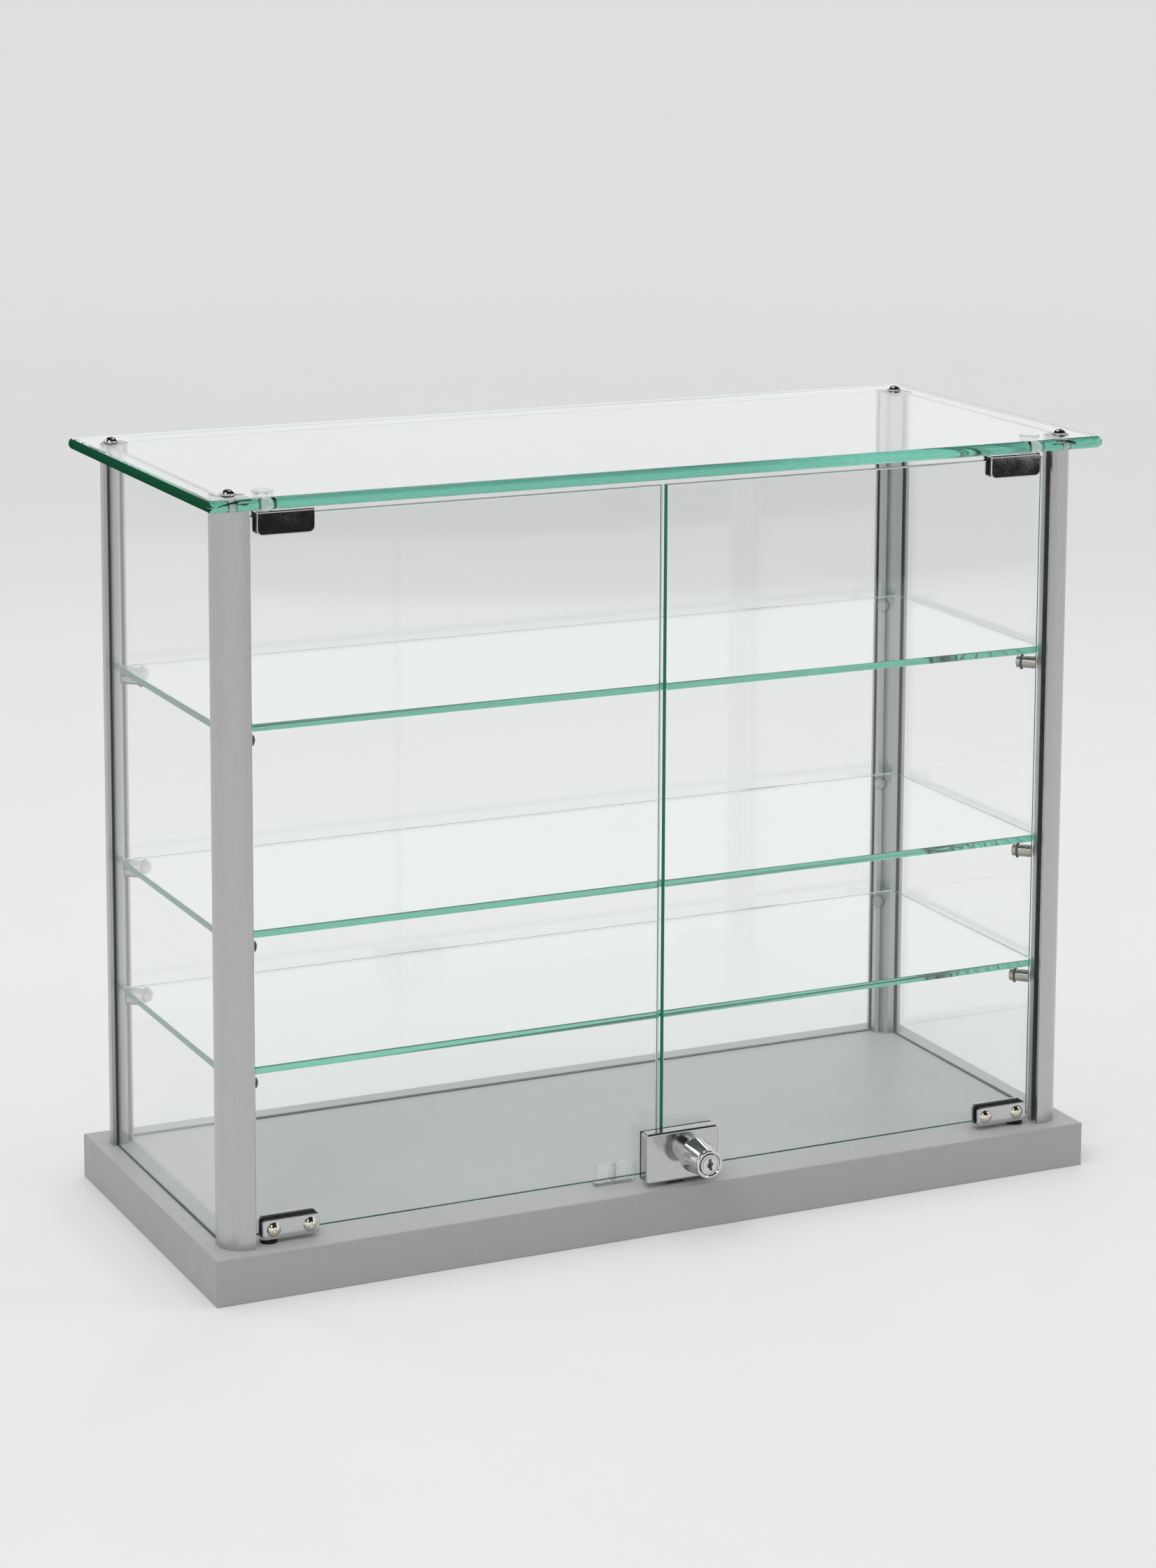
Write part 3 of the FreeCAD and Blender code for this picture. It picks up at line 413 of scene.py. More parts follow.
softChrome = grainyFinish("softChrome", {
    "grain": 500, "colours": ((0.52, 0.52, 0.53), (0.58, 0.58, 0.59)), "rough": (0.13, 0.19), "marks": 60,
    "bump": 0.02, "depth": 0.00003, "metal": 1.0})
brightNickel = grainyFinish("brightNickel", {
    "grain": 900, "stretch": (1, 1, 0.2), "colours": ((0.34, 0.32, 0.28), (0.44, 0.42, 0.37)),
    "rough": (0.04, 0.09), "marks": 80, "bump": 0.05, "depth": 0.00004, "metal": 1.0})
satinNickel = grainyFinish("satinNickel", {
    "grain": 1500, "colours": ((0.60, 0.60, 0.59), (0.72, 0.72, 0.71)), "rough": (0.26, 0.38), "marks": 90,
    "bump": 0.08, "depth": 0.00004, "metal": 1.0})
zincSteel = grainyFinish("zincSteel", {
    "grain": 700, "colours": ((0.42, 0.42, 0.43), (0.55, 0.55, 0.56)), "rough": (0.28, 0.42), "marks": 50,
    "bump": 0.08, "depth": 0.00005, "metal": 1.0})
darkBronze = grainyFinish("darkBronze", {
    "grain": 900, "colours": ((0.05, 0.04, 0.03), (0.10, 0.08, 0.06)), "rough": (0.30, 0.45), "marks": 60,
    "bump": 0.08, "depth": 0.00005, "metal": 0.7})
blackPlastic = grainyFinish("blackPlastic", {
    "grain": 1600, "colours": ((0.006, 0.006, 0.006), (0.014, 0.014, 0.014)), "rough": (0.45, 0.60), "marks": 40,
    "bump": 0.15, "depth": 0.0001, "specular": 0.2})
# seal colour is a lighter green-grey than black rubber: painted light, the green of the glass edge the seals are seen
# through
sealRubberPaintedGlassGreen = grainyFinish("sealRubberPaintedGlassGreen", {
    "grain": 1200, "colours": ((0.052, 0.064, 0.055), (0.086, 0.104, 0.090)), "rough": (0.55, 0.75), "marks": 30,
    "bump": 0.1, "depth": 0.0001, "specular": 0.3})
ringRubber = grainyFinish("ringRubber", {
    "grain": 1500, "colours": ((0.006, 0.006, 0.006), (0.012, 0.012, 0.012)), "rough": (0.55, 0.70), "marks": 90,
    "bump": 0.08, "depth": 0.00005, "specular": 0.15})
warmNickel = grainyFinish("warmNickel", {
    "grain": 700, "colours": ((0.74, 0.69, 0.60), (0.82, 0.77, 0.68)), "rough": (0.05, 0.12), "marks": 90,
    "bump": 0.03, "depth": 0.00003, "metal": 1.0})
floatGlass = clearFinish("floatGlass", {
    "colour": (1.0, 1.0, 1.0), "rough": (0.0, 0.004), "marks": 11, "ior": 1.52, "passing": (0.99, 0.99, 0.99),
    "absorbing": (0.02, 0.75, 0.58), "density": 2.5, "paintedEdgeColour": "edgeGreenAndShade"})
clearPlastic = clearFinish("clearPlastic", {
    "colour": (0.99, 0.99, 0.99), "rough": (0.20, 0.32), "marks": 70, "ior": 1.3, "passing": (0.90, 0.90, 0.90),
    "clear": 0.8})
milkyPlastic = clearFinish("milkyPlastic", {
    "colour": (0.90, 0.91, 0.90), "rough": (0.25, 0.40), "marks": 90, "ior": 1.49, "passing": (0.75, 0.75, 0.75),
    "clear": 0.55})
print("finishes ready:", len(bpy.data.materials))


# CAD nodes that keep their shape

cadFinishes = [
    (silverLaminate, ["base_board"]),
    (satinAluminium, ["post_front_left", "post_front_right", "post_back_right", "post_back_left"]),
    (zincSteel, ["post_screws", "lock_clamp_screws", "lock_cam", "upper_hinge_left_screws", "upper_hinge_right_screws",
                 "upper_hinge_left_pin", "upper_hinge_right_pin", "lower_hinge_left_pin", "lower_hinge_right_pin"]),
    (sealRubberPaintedGlassGreen, ["seals_side_left", "seals_side_right", "seals_back"]),
    (ringRubber, ["shelf_pin_rings_lower", "shelf_pin_rings_middle", "shelf_pin_rings_upper"]),
    (milkyPlastic, ["top_screw_sleeves", "top_bushes"]),
    (blackPlastic, ["base_bushes", "lock_lining", "upper_hinge_left_liner", "upper_hinge_right_liner"]),
    (darkBronze, ["lock_bolt"]),
]
for finish, names in cadFinishes:
    for name in names:
        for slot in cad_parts[name].material_slots:
            slot.material = finish
print("CAD nodes finished:", sum(len(names) for finish, names in cadFinishes))


# glass sheets

# edge colours are painted: the glass's own green together with painted shade, set per edge, darker on the side edges of
# the top glass, doors and shelves
sheets = [
    {"name": "topGlass", "node": "glass_top", "body": "case", "flat": 2, "edge": 0.0048, "steps": 8, "corner": 0.006,
     "sideEdgeGreenAndShade": (0.009, 0.075, 0.036, 1), "frontEdgeGreenAndShade": (0.60, 0.87, 0.81, 0)},
    {"name": "leftDoorGlass", "node": "door_left", "body": "left_door", "flat": 1, "edge": 0.0010, "steps": 3,
     "sideEdgeGreenAndShade": (0.030, 0.180, 0.110, 0.95), "frontEdgeGreenAndShade": (0.20, 0.34, 0.29, 0)},
    {"name": "rightDoorGlass", "node": "door_right", "body": "right_door", "flat": 1, "edge": 0.0010, "steps": 3,
     "sideEdgeGreenAndShade": (0.030, 0.180, 0.110, 0.95), "frontEdgeGreenAndShade": (0.20, 0.34, 0.29, 0)},
    {"name": "lowerShelfGlass", "node": "shelf_lower", "body": "lower_shelf", "flat": 2, "edge": 0.0010, "steps": 3,
     "sideEdgeGreenAndShade": (0.095, 0.240, 0.175, 0.9), "frontEdgeGreenAndShade": (0.30, 0.66, 0.55, 0)},
    {"name": "middleShelfGlass", "node": "shelf_middle", "body": "middle_shelf", "flat": 2, "edge": 0.0010, "steps": 3,
     "sideEdgeGreenAndShade": (0.095, 0.240, 0.175, 0.9), "frontEdgeGreenAndShade": (0.30, 0.66, 0.55, 0)},
    {"name": "upperShelfGlass", "node": "shelf_upper", "body": "upper_shelf", "flat": 2, "edge": 0.0010, "steps": 3,
     "sideEdgeGreenAndShade": (0.095, 0.240, 0.175, 0.9), "frontEdgeGreenAndShade": (0.30, 0.66, 0.55, 0)},
    {"name": "leftSideGlass", "node": "glass_side_left", "body": "case", "flat": 0, "edge": 0.0006, "steps": 2,
     "sideEdgeGreenAndShade": (0.30, 0.60, 0.50, 0), "frontEdgeGreenAndShade": (0.30, 0.60, 0.50, 0)},
    {"name": "rightSideGlass", "node": "glass_side_right", "body": "case", "flat": 0, "edge": 0.0006, "steps": 2,
     "sideEdgeGreenAndShade": (0.30, 0.60, 0.50, 0), "frontEdgeGreenAndShade": (0.30, 0.60, 0.50, 0)},
    {"name": "backGlass", "node": "glass_back", "body": "case", "flat": 1, "edge": 0.0006, "steps": 2,
     "sideEdgeGreenAndShade": (0.30, 0.60, 0.50, 0), "frontEdgeGreenAndShade": (0.30, 0.60, 0.50, 0)},
]
topHoles = {"screw": 0.00415, "bush": 0.00755, "screwX": 0.3755, "screwY": (-0.1425, 0.1395),
            "bushX": 0.3465, "bushY": -0.141}
hingeScrewX, hingeScrewZ = (0.3135, 0.3445), 0.04975
doorHoles = {"radius": 0.0035, "x": hingeScrewX, "z": hingeScrewZ}


def glassSheet(look):
    low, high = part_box(look["node"])
    piece = startBlock(look["name"], low, high)
    if "corner" in look:  # upright corners first, then the rim
        roundEdges(piece, lambda edge: runsAlong(edge, look["flat"]), look["corner"], 6)
    roundEdges(piece, lambda edge: not runsAlong(edge, look["flat"]) and sharpEdge(edge), look["edge"], look["steps"])
    return piece, low, high


def paintEdgeGreenAndShade(piece, look, low, high):  # painted edge colour in place of the light's long way through the sheet: partly the glass's own green, partly painted shade, darker on the side edges than on the front and back ones
    paintedEdgeColour = piece.data.color_attributes.new("edgeGreenAndShade", "FLOAT_COLOR", "CORNER")
    inside = [(low[axis] + 0.0005, high[axis] - 0.0005) for axis in range(3)]
    for face in piece.data.polygons:
        colour = (1, 1, 1, 0)
        rim = any(not inside[axis][0] < face.center[axis] < inside[axis][1]
                  for axis in range(3) if axis != look["flat"])
        lean = abs(face.normal[look["flat"]])
        if lean < 0.85 and (rim or lean > 0.02):
            colour = look["sideEdgeGreenAndShade"] if abs(face.normal.x) > 0.55 else look["frontEdgeGreenAndShade"]
        for corner in face.loop_indices:
            paintedEdgeColour.data[corner].color = colour


for look in sheets:
    sheetPiece, sheetLow, sheetHigh = glassSheet(look)
    if look["node"] == "glass_top":
        for side in (-1, 1):
            places = [(side * topHoles["screwX"], y, topHoles["screw"]) for y in topHoles["screwY"]]
            places.append((side * topHoles["bushX"], topHoles["bushY"], topHoles["bush"]))
            for x, y, radius in places:
                drill(sheetPiece, (x, y, sheetLow.z - past), (x, y, sheetHigh.z + past), radius)
    if look["node"].startswith("door"):
        side = -1 if look["node"].endswith("left") else 1
        for x in doorHoles["x"]:
            drill(sheetPiece, (side * x, sheetLow.y - past, doorHoles["z"]),
                  (side * x, sheetHigh.y + past, doorHoles["z"]), doorHoles["radius"])
    paintEdgeGreenAndShade(sheetPiece, look, sheetLow, sheetHigh)
    smoothOff(sheetPiece)
    fit(sheetPiece, look["body"], floatGlass, "clear_glass", look["node"])
print("glass sheets:", len(sheets))


# base edge bands with soft edges

bandLook = {"wall": 0.001, "edge": 0.0009, "steps": 4}


def outerRim(axis, value):  # edges round the face that stands at this value
    return lambda edge: all(abs(v.co[axis] - value) < 1e-5 for v in edge.verts)


def edgeBands():
    low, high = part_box("base_edge_bands")
    wall = bandLook["wall"]
    bands = []
    for side in (0, 1):
        outer = (low, high)[side].y
        inner = outer + wall * (1 - 2 * side)
        band = startBlock("longBand", (low.x, min(outer, inner), low.z), (high.x, max(outer, inner), high.z))
        roundEdges(band, outerRim(1, outer), bandLook["edge"], bandLook["steps"])
        bands.append(band)
        outer = (low, high)[side].x
        inner = outer + wall * (1 - 2 * side)
        band = startBlock("shortBand", (min(outer, inner), low.y + wall, low.z),
                          (max(outer, inner), high.y - wall, high.z))
        roundEdges(band, outerRim(0, outer), bandLook["edge"], bandLook["steps"])
        bands.append(band)
    return joinUp("edgeBands", bands)


fit(smoothOff(edgeBands()), "case", silverBand, "base_laminate", "base_edge_bands")
print("edge bands done")


# screws: one domed cross-head screw for each size, copied to its places

screwSizes = {
    "hinge": {"head": 0.006, "dome": 0.0036, "shank": 0.0019, "length": 0.014,
              "slot": (0.0007, 0.0030), "sink": 0.0019},
    "top": {"head": 0.006, "dome": 0.003, "shank": 0.0025, "length": 0.0358,
            "slot": (0.0007, 0.0030), "sink": 0.0017},
    "stop": {"head": 0.00325, "dome": 0.002, "shank": 0.00175, "length": 0.030,
             "slot": (0.0004, 0.0017), "sink": 0.0011},
}


def domeScrew(name, size, upright):
    head, dome = size["head"], size["dome"]
    sphere = (head ** 2 + dome ** 2) / (2 * dome)
    rings = [(-size["length"], size["shank"]), (0, size["shank"]), (0, head)]
    for share in (0.08, 0.2, 0.34, 0.5, 0.66, 0.8, 0.9, 0.97):
        rise = dome * share
        rings.append((rise, math.sqrt(sphere ** 2 - (rise - dome + sphere) ** 2)))
    screw = turnUp(name, (0, 0, 0), (0, 0, 1), rings, 48)
    thin, wide = size["slot"]
    for x, y in ((thin, wide), (wide, thin)):  # cross recess
        cutAway(screw, startBlock("cross", (-x, -y, dome - size["sink"]), (x, y, dome * 2)))
    pickEdges(screw, lambda edge: sharpEdge(edge) and min(v.co.z for v in edge.verts) > dome * 0.3)
    bpy.ops.mesh.bevel(offset=0.00012, segments=2, affect="EDGES")
    bpy.ops.object.mode_set(mode="OBJECT")
    if not upright:
        layFront(screw)
    return smoothOff(screw, 35)


def setOf(name, model, places):  # copies of one model at their places, joined into one piece
    return joinUp(name, [copyTo(model, name, place) for place in places])


hingeScrew = domeScrew("hingeScrew", screwSizes["hinge"], False)
topScrew = domeScrew("topScrew", screwSizes["top"], True)
stopScrew = domeScrew("stopScrew", screwSizes["stop"], True)
for side, label in ((-1, "left"), (1, "right")):
    low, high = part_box(f"lower_hinge_{label}_plate")
    places = [(side * x, low.y, hingeScrewZ) for x in hingeScrewX]
    fit(setOf(label + "HingeScrews", hingeScrew, places), label + "_door", warmNickel, "chrome",
        f"lower_hinge_{label}_screws")
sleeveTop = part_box("top_screw_sleeves")[1].z
places = [(side * topHoles["screwX"], y, sleeveTop) for side in (-1, 1) for y in topHoles["screwY"]]
fit(setOf("topScrews", topScrew, places), "case", polishedChrome, "chrome", "top_screws")
low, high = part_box("door_stop_screw")
places = [((low.x + high.x) / 2, (low.y + high.y) / 2, high.z - screwSizes["stop"]["dome"])]
fit(setOf("doorStopScrew", stopScrew, places), "case", zincSteel, "steel_screws", "door_stop_screw")
for model in (hingeScrew, topScrew, stopScrew):
    bpy.data.objects.remove(model)
print("screws done")


# hinges

hingeLook = {"corner": 0.0032, "rim": 0.0007, "wall": 0.002, "clipCorner": 0.005, "clipRim": 0.0009, "clipTop": 0.0018,
             "arris": 0.0003, "screwHole": 0.002, "lead": 0.003,
             "pivotX": 0.3465, "pivotY": -0.141, "pivotHole": 0.00305, "grubZ": 0.62065, "grubHole": 0.0026}


def lowerPlate(label, side):
    low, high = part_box(f"lower_hinge_{label}_plate")
    plate = startBlock(label + "HingePlate", low, high)
    roundEdges(plate, lambda edge: runsAlong(edge, 1), hingeLook["corner"], 7)
    roundEdges(plate, outerRim(1, low.y), hingeLook["rim"], 4)
    for x in hingeScrewX:
        drill(plate, (side * x, low.y - past, hingeScrewZ), (side * x, high.y + past, hingeScrewZ),
              hingeLook["screwHole"])
    return smoothOff(plate)


def lowerBracket(label, side):
    low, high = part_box(f"lower_hinge_{label}_bracket")
    wall = hingeLook["wall"]
    bracket = startBlock(label + "HingeBracket", (low.x, high.y - wall, low.z), high)
    pushOut(bracket, 2, low.z + wall, 1, high.y - wall, (0, low.y - high.y + wall, 0))
    roundEdges(bracket, atTop(1, high.z), hingeLook["corner"], 6)
    roundEdges(bracket, sharpEdge, hingeLook["arris"], 2)
    for x in hingeScrewX:
        drill(bracket, (side * x, high.y - wall - hingeLook["lead"], hingeScrewZ),
              (side * x, high.y + past, hingeScrewZ), hingeLook["screwHole"])
    pivot = (side * hingeLook["pivotX"], hingeLook["pivotY"])
    drill(bracket, (*pivot, low.z - past), (*pivot, low.z + past), hingeLook["pivotHole"])
    return smoothOff(bracket)


def upperClip(label, side):
    low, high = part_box(f"upper_hinge_{label}_clip")
    wall = hingeLook["wall"]
    clip = startBlock(label + "HingeClip", low, high)
    roundEdges(clip, lambda edge: runsAlong(edge, 1) and max(v.co.z for v in edge.verts) < low.z + 1e-5,
               hingeLook["clipCorner"], 8)
    roundEdges(clip, atTop(0, high.z), hingeLook["clipTop"], 5)
    cutAway(clip, startBlock("room", (low.x - 0.01, low.y + wall, low.z - 0.01),
                             (high.x + 0.01, high.y - wall, high.z - wall)))
    roundEdges(clip, sharpEdge, hingeLook["clipRim"], 3)
    for x in hingeScrewX:
        drill(clip, (side * x, high.y - wall - hingeLook["lead"], hingeLook["grubZ"]),
              (side * x, high.y + past, hingeLook["grubZ"]), hingeLook["grubHole"])
    pivot = (side * hingeLook["pivotX"], hingeLook["pivotY"])
    drill(clip, (*pivot, high.z - past), (*pivot, high.z + past), hingeLook["pivotHole"])
    return smoothOff(clip)


def lowerLiner(label, side):  # black liner round the glass, between plate and bracket
    low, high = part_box(f"lower_hinge_{label}_liner")
    glassLow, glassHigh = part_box(f"door_{label}")
    liner = startBlock(label + "HingeLiner", low, high)
    roundEdges(liner, atTop(1, high.z), hingeLook["corner"], 6)
    cutAway(liner, startBlock("gap", (low.x - 0.01, glassLow.y, glassLow.z),
                              (high.x + 0.01, glassHigh.y, high.z + 0.01)))
    roundEdges(liner, sharpEdge, hingeLook["arris"], 2)
    for x in hingeScrewX:
        drill(liner, (side * x, low.y - past, hingeScrewZ), (side * x, high.y + past, hingeScrewZ),
              hingeLook["screwHole"])
    return smoothOff(liner)


for side, label in ((-1, "left"), (1, "right")):
    fit(lowerLiner(label, side), label + "_door", blackPlastic, "black_plastic", f"lower_hinge_{label}_liner")
    fit(lowerPlate(label, side), label + "_door", softChrome, "chrome", f"lower_hinge_{label}_plate")
    fit(lowerBracket(label, side), label + "_door", polishedChrome, "chrome", f"lower_hinge_{label}_bracket")
    fit(upperClip(label, side), label + "_door", polishedChrome, "chrome", f"upper_hinge_{label}_clip")
print("hinges done")


# lock: case with its clamp, collar, knob and key plug

lockLook = {"x": 0.0179, "z": 0.0671, "bore": 0.0051, "corner": 0.0028, "rim": 0.0020, "caseBack": -0.1485,
            "clampFront": -0.136, "clampLeft": 0.002, "clampTop": 0.0713, "web": 0.002, "arris": 0.0003,
            "camRoom": 0.00878, "camBack": -0.156, "boltRoom": ((0.00325, -0.1533, 0.038), (0.01695, -0.143, 0.0769)),
            "clampScrews": (0.014, 0.0354), "clampScrewZ": 0.0593, "clampScrewHole": 0.0026}
collarSteps = [(0, 0.0100), (0.0004, 0.0105), (0.0122, 0.0105), (0.0127, 0.0101)]
knobSteps = [(0, 0.0128), (0.0005, 0.0140), (0.0012, 0.0146), (0.0022, 0.01475), (0.0034, 0.0146),
             (0.012, 0.0133), (0.0232, 0.01135), (0.0243, 0.0110), (0.0246, 0.0111), (0.0248, 0.01155),
             (0.0252, 0.01172), (0.0278, 0.01175), (0.0285, 0.0116), (0.0289, 0.0112), (0.029, 0.0107),
             (0.029, 0.0099), (0.0284, 0.0093), (0.0229, 0.00905)]
plugSteps = [(0, 0.005), (0.0388, 0.005), (0.0388, 0.0087), (0.0441, 0.0087), (0.0446, 0.0085), (0.0447, 0.0082),
             (0.0447, 0.0074), (0.0441, 0.0072), (0.0441, 0.0067), (0.0447, 0.0065), (0.0447, 0.0050)]
keySlot = [((-0.0015, 0.0013), (-0.0010, 0.0050)), ((-0.0024, 0.0005), (-0.0026, 0.0014)),
           ((-0.0005, 0.0028), (-0.0008, 0.0016)), ((-0.0008, 0.0016), (-0.0046, -0.0010)),
           ((0.0005, 0.0021), (-0.0052, -0.0034))]


def lockCase():
    low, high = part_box("lock_case")
    x, z = lockLook["x"], lockLook["z"]
    case = startBlock("lockCase", low, (high.x, lockLook["caseBack"], high.z))
    roundEdges(case, lambda edge: runsAlong(edge, 1), lockLook["corner"], 6)
    roundEdges(case, outerRim(1, low.y), lockLook["rim"], 6)
    cutAway(case, startBlock("boltRoom", *lockLook["boltRoom"]))
    drill(case, (x, lockLook["camBack"], z), (x, lockLook["caseBack"] + past, z), lockLook["camRoom"])
    drill(case, (x, low.y - past, z), (x, high.y + 0.01, z), lockLook["bore"])
    clamp = startBlock("lockClamp", (lockLook["clampLeft"], lockLook["clampFront"], low.z),
                       (high.x, high.y, lockLook["clampTop"]))
    pushOut(clamp, 2, low.z + lockLook["web"], 1, lockLook["clampFront"],
            (0, lockLook["caseBack"] - lockLook["clampFront"], 0))
    roundEdges(clamp, sharpEdge, lockLook["arris"], 2)
    for screwX in lockLook["clampScrews"]:
        drill(clamp, (screwX, lockLook["clampFront"] - 0.003, lockLook["clampScrewZ"]),
              (screwX, high.y + past, lockLook["clampScrewZ"]), lockLook["clampScrewHole"])
    return smoothOff(joinUp("lockCase", [case, clamp]))


def keyPlug():
    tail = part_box("key_plug")[1].y
    x, z = lockLook["x"], lockLook["z"]
    plug = turnUp("keyPlug", (x, tail, z), (0, -1, 0), plugSteps)
    front = tail - plugSteps[-1][0]
    for xs, zs in keySlot:
        cutAway(plug, startBlock("slot", (x + xs[0], front - past, z + zs[0]),
                                 (x + xs[1], front + 0.009, z + zs[1])))
    return smoothOff(plug, 30)


lockCollar = turnUp("lockCollar", (lockLook["x"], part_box("lock_collar")[1].y, lockLook["z"]), (0, -1, 0), collarSteps)
lockKnob = turnUp("lockKnob", (lockLook["x"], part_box("lock_knob")[1].y, lockLook["z"]), (0, -1, 0), knobSteps, 80)
for turnedPiece in (lockCollar, lockKnob):
    drill(turnedPiece, (lockLook["x"], -0.23, lockLook["z"]), (lockLook["x"], -0.15, lockLook["z"]), lockLook["bore"])
fit(lockCase(), "right_door", softChrome, "chrome", "lock_case")
fit(smoothOff(lockCollar, 35), "right_door", polishedChrome, "chrome", "lock_collar")
fit(smoothOff(lockKnob, 35), "right_door", polishedChrome, "chrome", "lock_knob")
fit(keyPlug(), "key", satinNickel, "satin_plug", "key_plug")
print("lock done")


# clear door stop: upright, foot and a boss for the screw

stopLook = {"wall": 0.004, "foot": 0.004, "corner": 0.003, "edge": 0.0006,
            "boss": 0.0045, "bossHeight": 0.015, "bore": 0.00185}


def doorStop():
    low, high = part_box("door_stop")
    stop = startBlock("doorStop", low, (high.x, high.y, low.z + stopLook["foot"]))
    pushOut(stop, 1, low.y + stopLook["wall"], 2, low.z + stopLook["foot"],
            (0, 0, high.z - low.z - stopLook["foot"]))
    roundEdges(stop, atTop(1, high.z), stopLook["corner"], 5)
    roundEdges(stop, sharpEdge, stopLook["edge"], 2)
    screwLow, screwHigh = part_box("door_stop_screw")
    middle = (screwLow + screwHigh) / 2
    rise, radius = stopLook["bossHeight"], stopLook["boss"]
    bossSteps = [(0, radius), (rise - 0.0015, radius), (rise - 0.001, radius - 0.0005)]
    boss = turnUp("boss", (middle.x, middle.y, low.z + 0.001), (0, 0, 1), bossSteps, 40)
    weld(stop, boss)
    drill(stop, (middle.x, middle.y, low.z - past), (middle.x, middle.y, high.z), stopLook["bore"])
    return smoothOff(stop)


fit(doorStop(), "case", clearPlastic, "clear_plastic", "door_stop")
print("door stop done")


# shelf pins: one turned pin, copied to the four corners of each shelf

pinSteps = [(-0.0055, 0.0025), (0.0001, 0.0025), (0.0001, 0.0048), (0.0006, 0.00525), (0.0022, 0.00525),
            (0.0024, 0.0050), (0.0026, 0.00525), (0.0155, 0.00525), (0.0157, 0.0051), (0.0158, 0.0049),
            (0.0174, 0.0049), (0.0175, 0.0051), (0.0177, 0.00525), (0.0205, 0.00525), (0.0209, 0.0050),
            (0.0211, 0.0046), (0.0211, 0.0037), (0.0214, 0.0035), (0.0217, 0.0030)]
pinSeat = {"x": 0.3665, "front": -0.1335, "back": 0.1305}


def shelfPins(label, model):
    low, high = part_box("shelf_pins_" + label)
    pins = []
    for sideX in (-1, 1):
        for sideY in (-1, 1):
            turn = math.atan2(-sideY, -sideX)
            seat = (sideX * pinSeat["x"], pinSeat["front"] if sideY < 0 else pinSeat["back"], (low.z + high.z) / 2)
            pins.append(copyTo(model, "pin", seat, turn))
    return joinUp(label + "ShelfPins", pins)


pinModel = turnUp("pinModel", (0, 0, 0), (1, 0, 0), pinSteps, 48)
smoothOff(pinModel, 30)
for label in ("lower", "middle", "upper"):
    fit(shelfPins(label, pinModel), label + "_shelf", brightNickel, "chrome", "shelf_pins_" + label)
bpy.data.objects.remove(pinModel)
print("shelf pins done")


# studio: pale floor, even fill from the surroundings, a broad lamp overhead and softboxes all round

studio = {"floor": (0.84, 0.84, 0.84), "farFloor": (0.94, 0.94, 0.94), "fill": 0.58, "backdrop": 0.95, "dark": 0.005,
          "darkCeiling": 0.02, "nearFar": (1.5, 7.0), "patchFade": (1.0, 0.8),
          "darkPlace": (1.55, -3.3), "darkReach": (1.3, 0.9), "ceiling": (0.37, 0.43),
          "overhead": {"turn": (18, -14, 0), "angle": 70, "strength": 0.76}, "aim": (0, 0, 0.3)}
softboxes = [
    {"name": "leftSoftbox", "place": (-1.7, -1.7, 2.3), "size": (0.8, 1.2), "power": 8.5},
    {"name": "rightSoftbox", "place": (2.1, -0.9, 1.8), "size": (0.7, 1.1), "power": 7.0},
    {"name": "highSoftbox", "place": (-1.1, -0.1, 2.5), "size": (0.5, 0.5), "power": 2.4},
    {"name": "overSoftbox", "place": (0.55, 1.1, 2.6), "size": (0.9, 0.9), "power": 3.2},
    {"name": "backLeftSoftbox", "place": (-1.2, 1.4, 1.9), "size": (0.5, 0.5), "power": 2.4},
    {"name": "backSoftbox", "place": (0.3, 2.5, 1.75), "size": (0.4, 0.4), "power": 1.5},
    {"name": "backRightSoftbox", "place": (1.4, 1.7, 1.6), "size": (0.4, 0.5), "power": 1.9},
]


def mirrorOnly(nodes, links):  # 1 where a mirror image is seen, also one through the glass
    path = nodes.new("ShaderNodeLightPath")
    both = nodes.new("ShaderNodeMath")
    both.operation = "MULTIPLY"
    both.use_clamp = True
    links.new(path.outputs["Glossy Depth"], both.inputs[0])
    links.new(path.outputs["Is Glossy Ray"], both.inputs[1])
    return both.outputs["Value"]


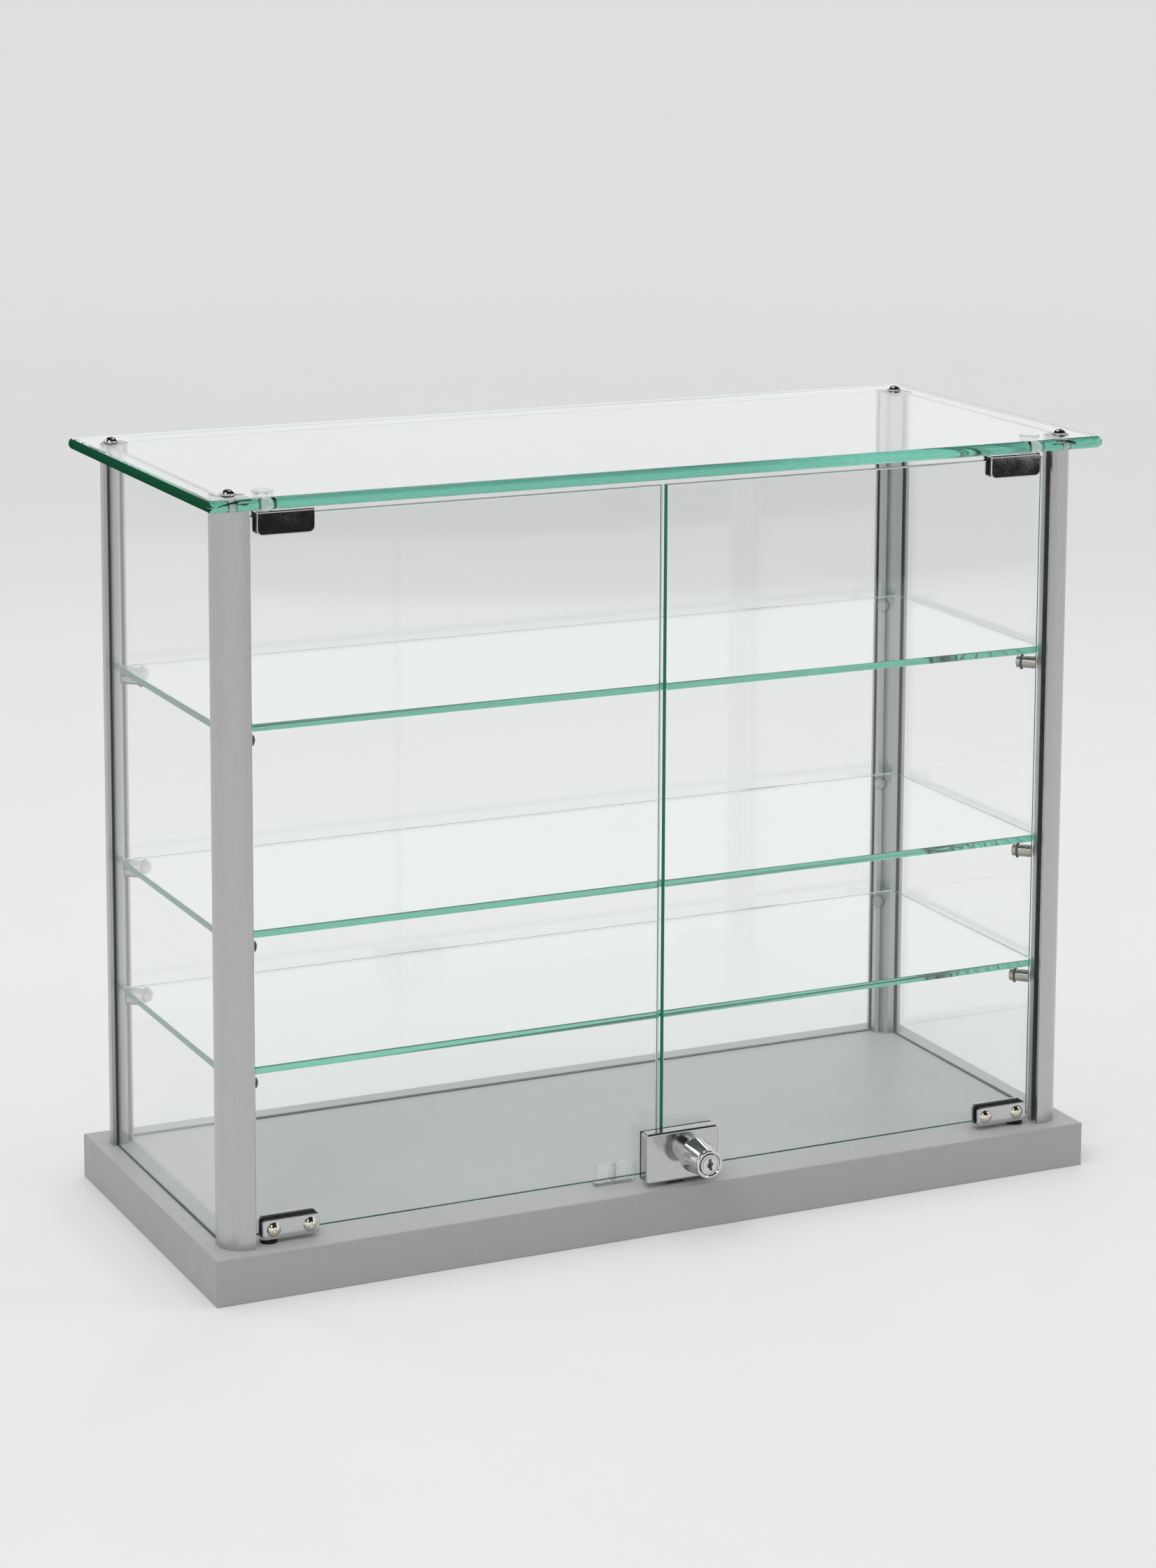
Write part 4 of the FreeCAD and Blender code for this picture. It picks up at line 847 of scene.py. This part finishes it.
def layFloor():  # paler far away, with a dark patch that only reflections show, as of the room in front of the sweep
    clearSelection()
    bpy.ops.mesh.primitive_plane_add(size=80, location=(0, 0, cadBounds[0][2]))
    floor = settle("floor")
    finish, nodes, links, shader = newFinish("paleFloor")
    marks = addGroup(nodes, handlingGroup, Scale=1.5, Low=0.75, High=0.9)
    links.new(marks.outputs["Value"], shader.inputs["Roughness"])
    place = nodes.new("ShaderNodeTexCoord")
    distance = nodes.new("ShaderNodeVectorMath")
    distance.operation = "LENGTH"
    far = nodes.new("ShaderNodeMapRange")
    far.inputs["From Min"].default_value, far.inputs["From Max"].default_value = studio["nearFar"]
    patch = nodes.new("ShaderNodeMapping")
    patch.vector_type = "TEXTURE"
    patch.inputs["Location"].default_value = (*studio["darkPlace"], 0)
    patch.inputs["Scale"].default_value = (*studio["darkReach"], 1)
    within = nodes.new("ShaderNodeVectorMath")
    within.operation = "LENGTH"
    fade = nodes.new("ShaderNodeMapRange")
    fade.interpolation_type = "SMOOTHSTEP"
    fade.inputs["From Min"].default_value, fade.inputs["From Max"].default_value = studio["patchFade"]
    mirrored = nodes.new("ShaderNodeMath")
    mirrored.operation = "MULTIPLY"
    paler = nodes.new("ShaderNodeMix")
    paler.data_type = "RGBA"
    paler.inputs["A"].default_value = (*studio["floor"], 1)
    paler.inputs["B"].default_value = (*studio["farFloor"], 1)
    shade = nodes.new("ShaderNodeMix")
    shade.data_type = "RGBA"
    shade.inputs["B"].default_value = (studio["dark"], studio["dark"], studio["dark"], 1)
    links.new(place.outputs["Object"], distance.inputs[0])
    links.new(distance.outputs["Value"], far.inputs["Value"])
    links.new(far.outputs["Result"], paler.inputs["Factor"])
    links.new(place.outputs["Object"], patch.inputs["Vector"])
    links.new(patch.outputs["Vector"], within.inputs[0])
    links.new(within.outputs["Value"], fade.inputs["Value"])
    links.new(fade.outputs["Result"], mirrored.inputs[0])
    links.new(mirrorOnly(nodes, links), mirrored.inputs[1])
    links.new(mirrored.outputs["Value"], shade.inputs["Factor"])
    links.new(paler.outputs["Result"], shade.inputs["A"])
    links.new(shade.outputs["Result"], shader.inputs["Base Color"])
    shader.inputs["Specular IOR Level"].default_value = 0.1
    floor.data.materials.append(finish)


def lightWorld():  # pale all round; metal mirrors a dark ceiling higher up
    world = bpy.data.worlds.new("studioSurroundings")
    world.use_nodes = True
    scene.world = world
    nodes, links = world.node_tree.nodes, world.node_tree.links
    fill = nodes["Background"]
    fill.inputs["Color"].default_value = (1, 1, 1, 1)
    fill.inputs["Strength"].default_value = studio["fill"]
    seen = nodes.new("ShaderNodeBackground")
    seen.inputs["Color"].default_value = (1, 1, 1, 1)
    seen.inputs["Strength"].default_value = studio["backdrop"]
    room = nodes.new("ShaderNodeBackground")
    room.inputs["Color"].default_value = (1, 1, 1, 1)
    place = nodes.new("ShaderNodeTexCoord")
    height = nodes.new("ShaderNodeSeparateXYZ")
    above = nodes.new("ShaderNodeMapRange")
    above.interpolation_type = "SMOOTHSTEP"
    above.inputs["From Min"].default_value, above.inputs["From Max"].default_value = studio["ceiling"]
    above.inputs["To Min"].default_value = studio["backdrop"]
    above.inputs["To Max"].default_value = studio["darkCeiling"]
    path = nodes.new("ShaderNodeLightPath")
    straight = nodes.new("ShaderNodeMath")
    straight.operation = "MAXIMUM"
    first = nodes.new("ShaderNodeMixShader")
    second = nodes.new("ShaderNodeMixShader")
    links.new(place.outputs["Generated"], height.inputs["Vector"])
    links.new(height.outputs["Z"], above.inputs["Value"])
    links.new(above.outputs["Result"], room.inputs["Strength"])
    links.new(path.outputs["Is Camera Ray"], straight.inputs[0])
    links.new(path.outputs["Is Transmission Ray"], straight.inputs[1])
    links.new(straight.outputs["Value"], first.inputs["Fac"])
    links.new(fill.outputs["Background"], first.inputs[1])
    links.new(seen.outputs["Background"], first.inputs[2])
    links.new(mirrorOnly(nodes, links), second.inputs["Fac"])
    links.new(first.outputs["Shader"], second.inputs[1])
    links.new(room.outputs["Background"], second.inputs[2])
    links.new(second.outputs["Shader"], nodes["World Output"].inputs["Surface"])


def hangLamps():
    overhead = studio["overhead"]
    bpy.ops.object.light_add(type="SUN", location=(0, 0, 3), rotation=[math.radians(a) for a in overhead["turn"]])
    lamp = bpy.context.active_object
    lamp.name = "overheadLamp"
    lamp.data.angle = math.radians(overhead["angle"])
    lamp.data.energy = overhead["strength"]
    lamp.visible_glossy = lamp.visible_transmission = False  # metal mirrors the softboxes only
    for box in softboxes:
        bpy.ops.object.light_add(type="AREA", location=box["place"])
        lamp = bpy.context.active_object
        lamp.name = box["name"]
        lamp.data.shape = "RECTANGLE"
        lamp.data.size, lamp.data.size_y = box["size"]
        lamp.data.energy = box["power"]
        lamp.visible_camera = False
        lamp.rotation_euler = (Vector(studio["aim"]) - lamp.location).to_track_quat("-Z", "Y").to_euler()


clearSelection()
layFloor()
lightWorld()
hangLamps()

view = {"place": (-1.38955, -2.92096, 1.15466), "turn": (81.0867, -0.2454, -25.2373),
        "lens": 89.1573, "shift": -0.2231}
bpy.ops.object.camera_add(location=view["place"], rotation=[math.radians(a) for a in view["turn"]])
camera = bpy.context.active_object
camera.name = "photoCamera"
camera.data.lens = view["lens"]
camera.data.sensor_width = 36
camera.data.shift_y = view["shift"]
camera.data.clip_end = 200
scene.camera = camera
scene.view_settings.view_transform = "Standard"
scene.cycles.max_bounces = 32  # light runs along inside the sheets
scene.cycles.glossy_bounces = 32
scene.cycles.transmission_bounces = 32
scene.cycles.transparent_max_bounces = 48
print("studio and camera set")
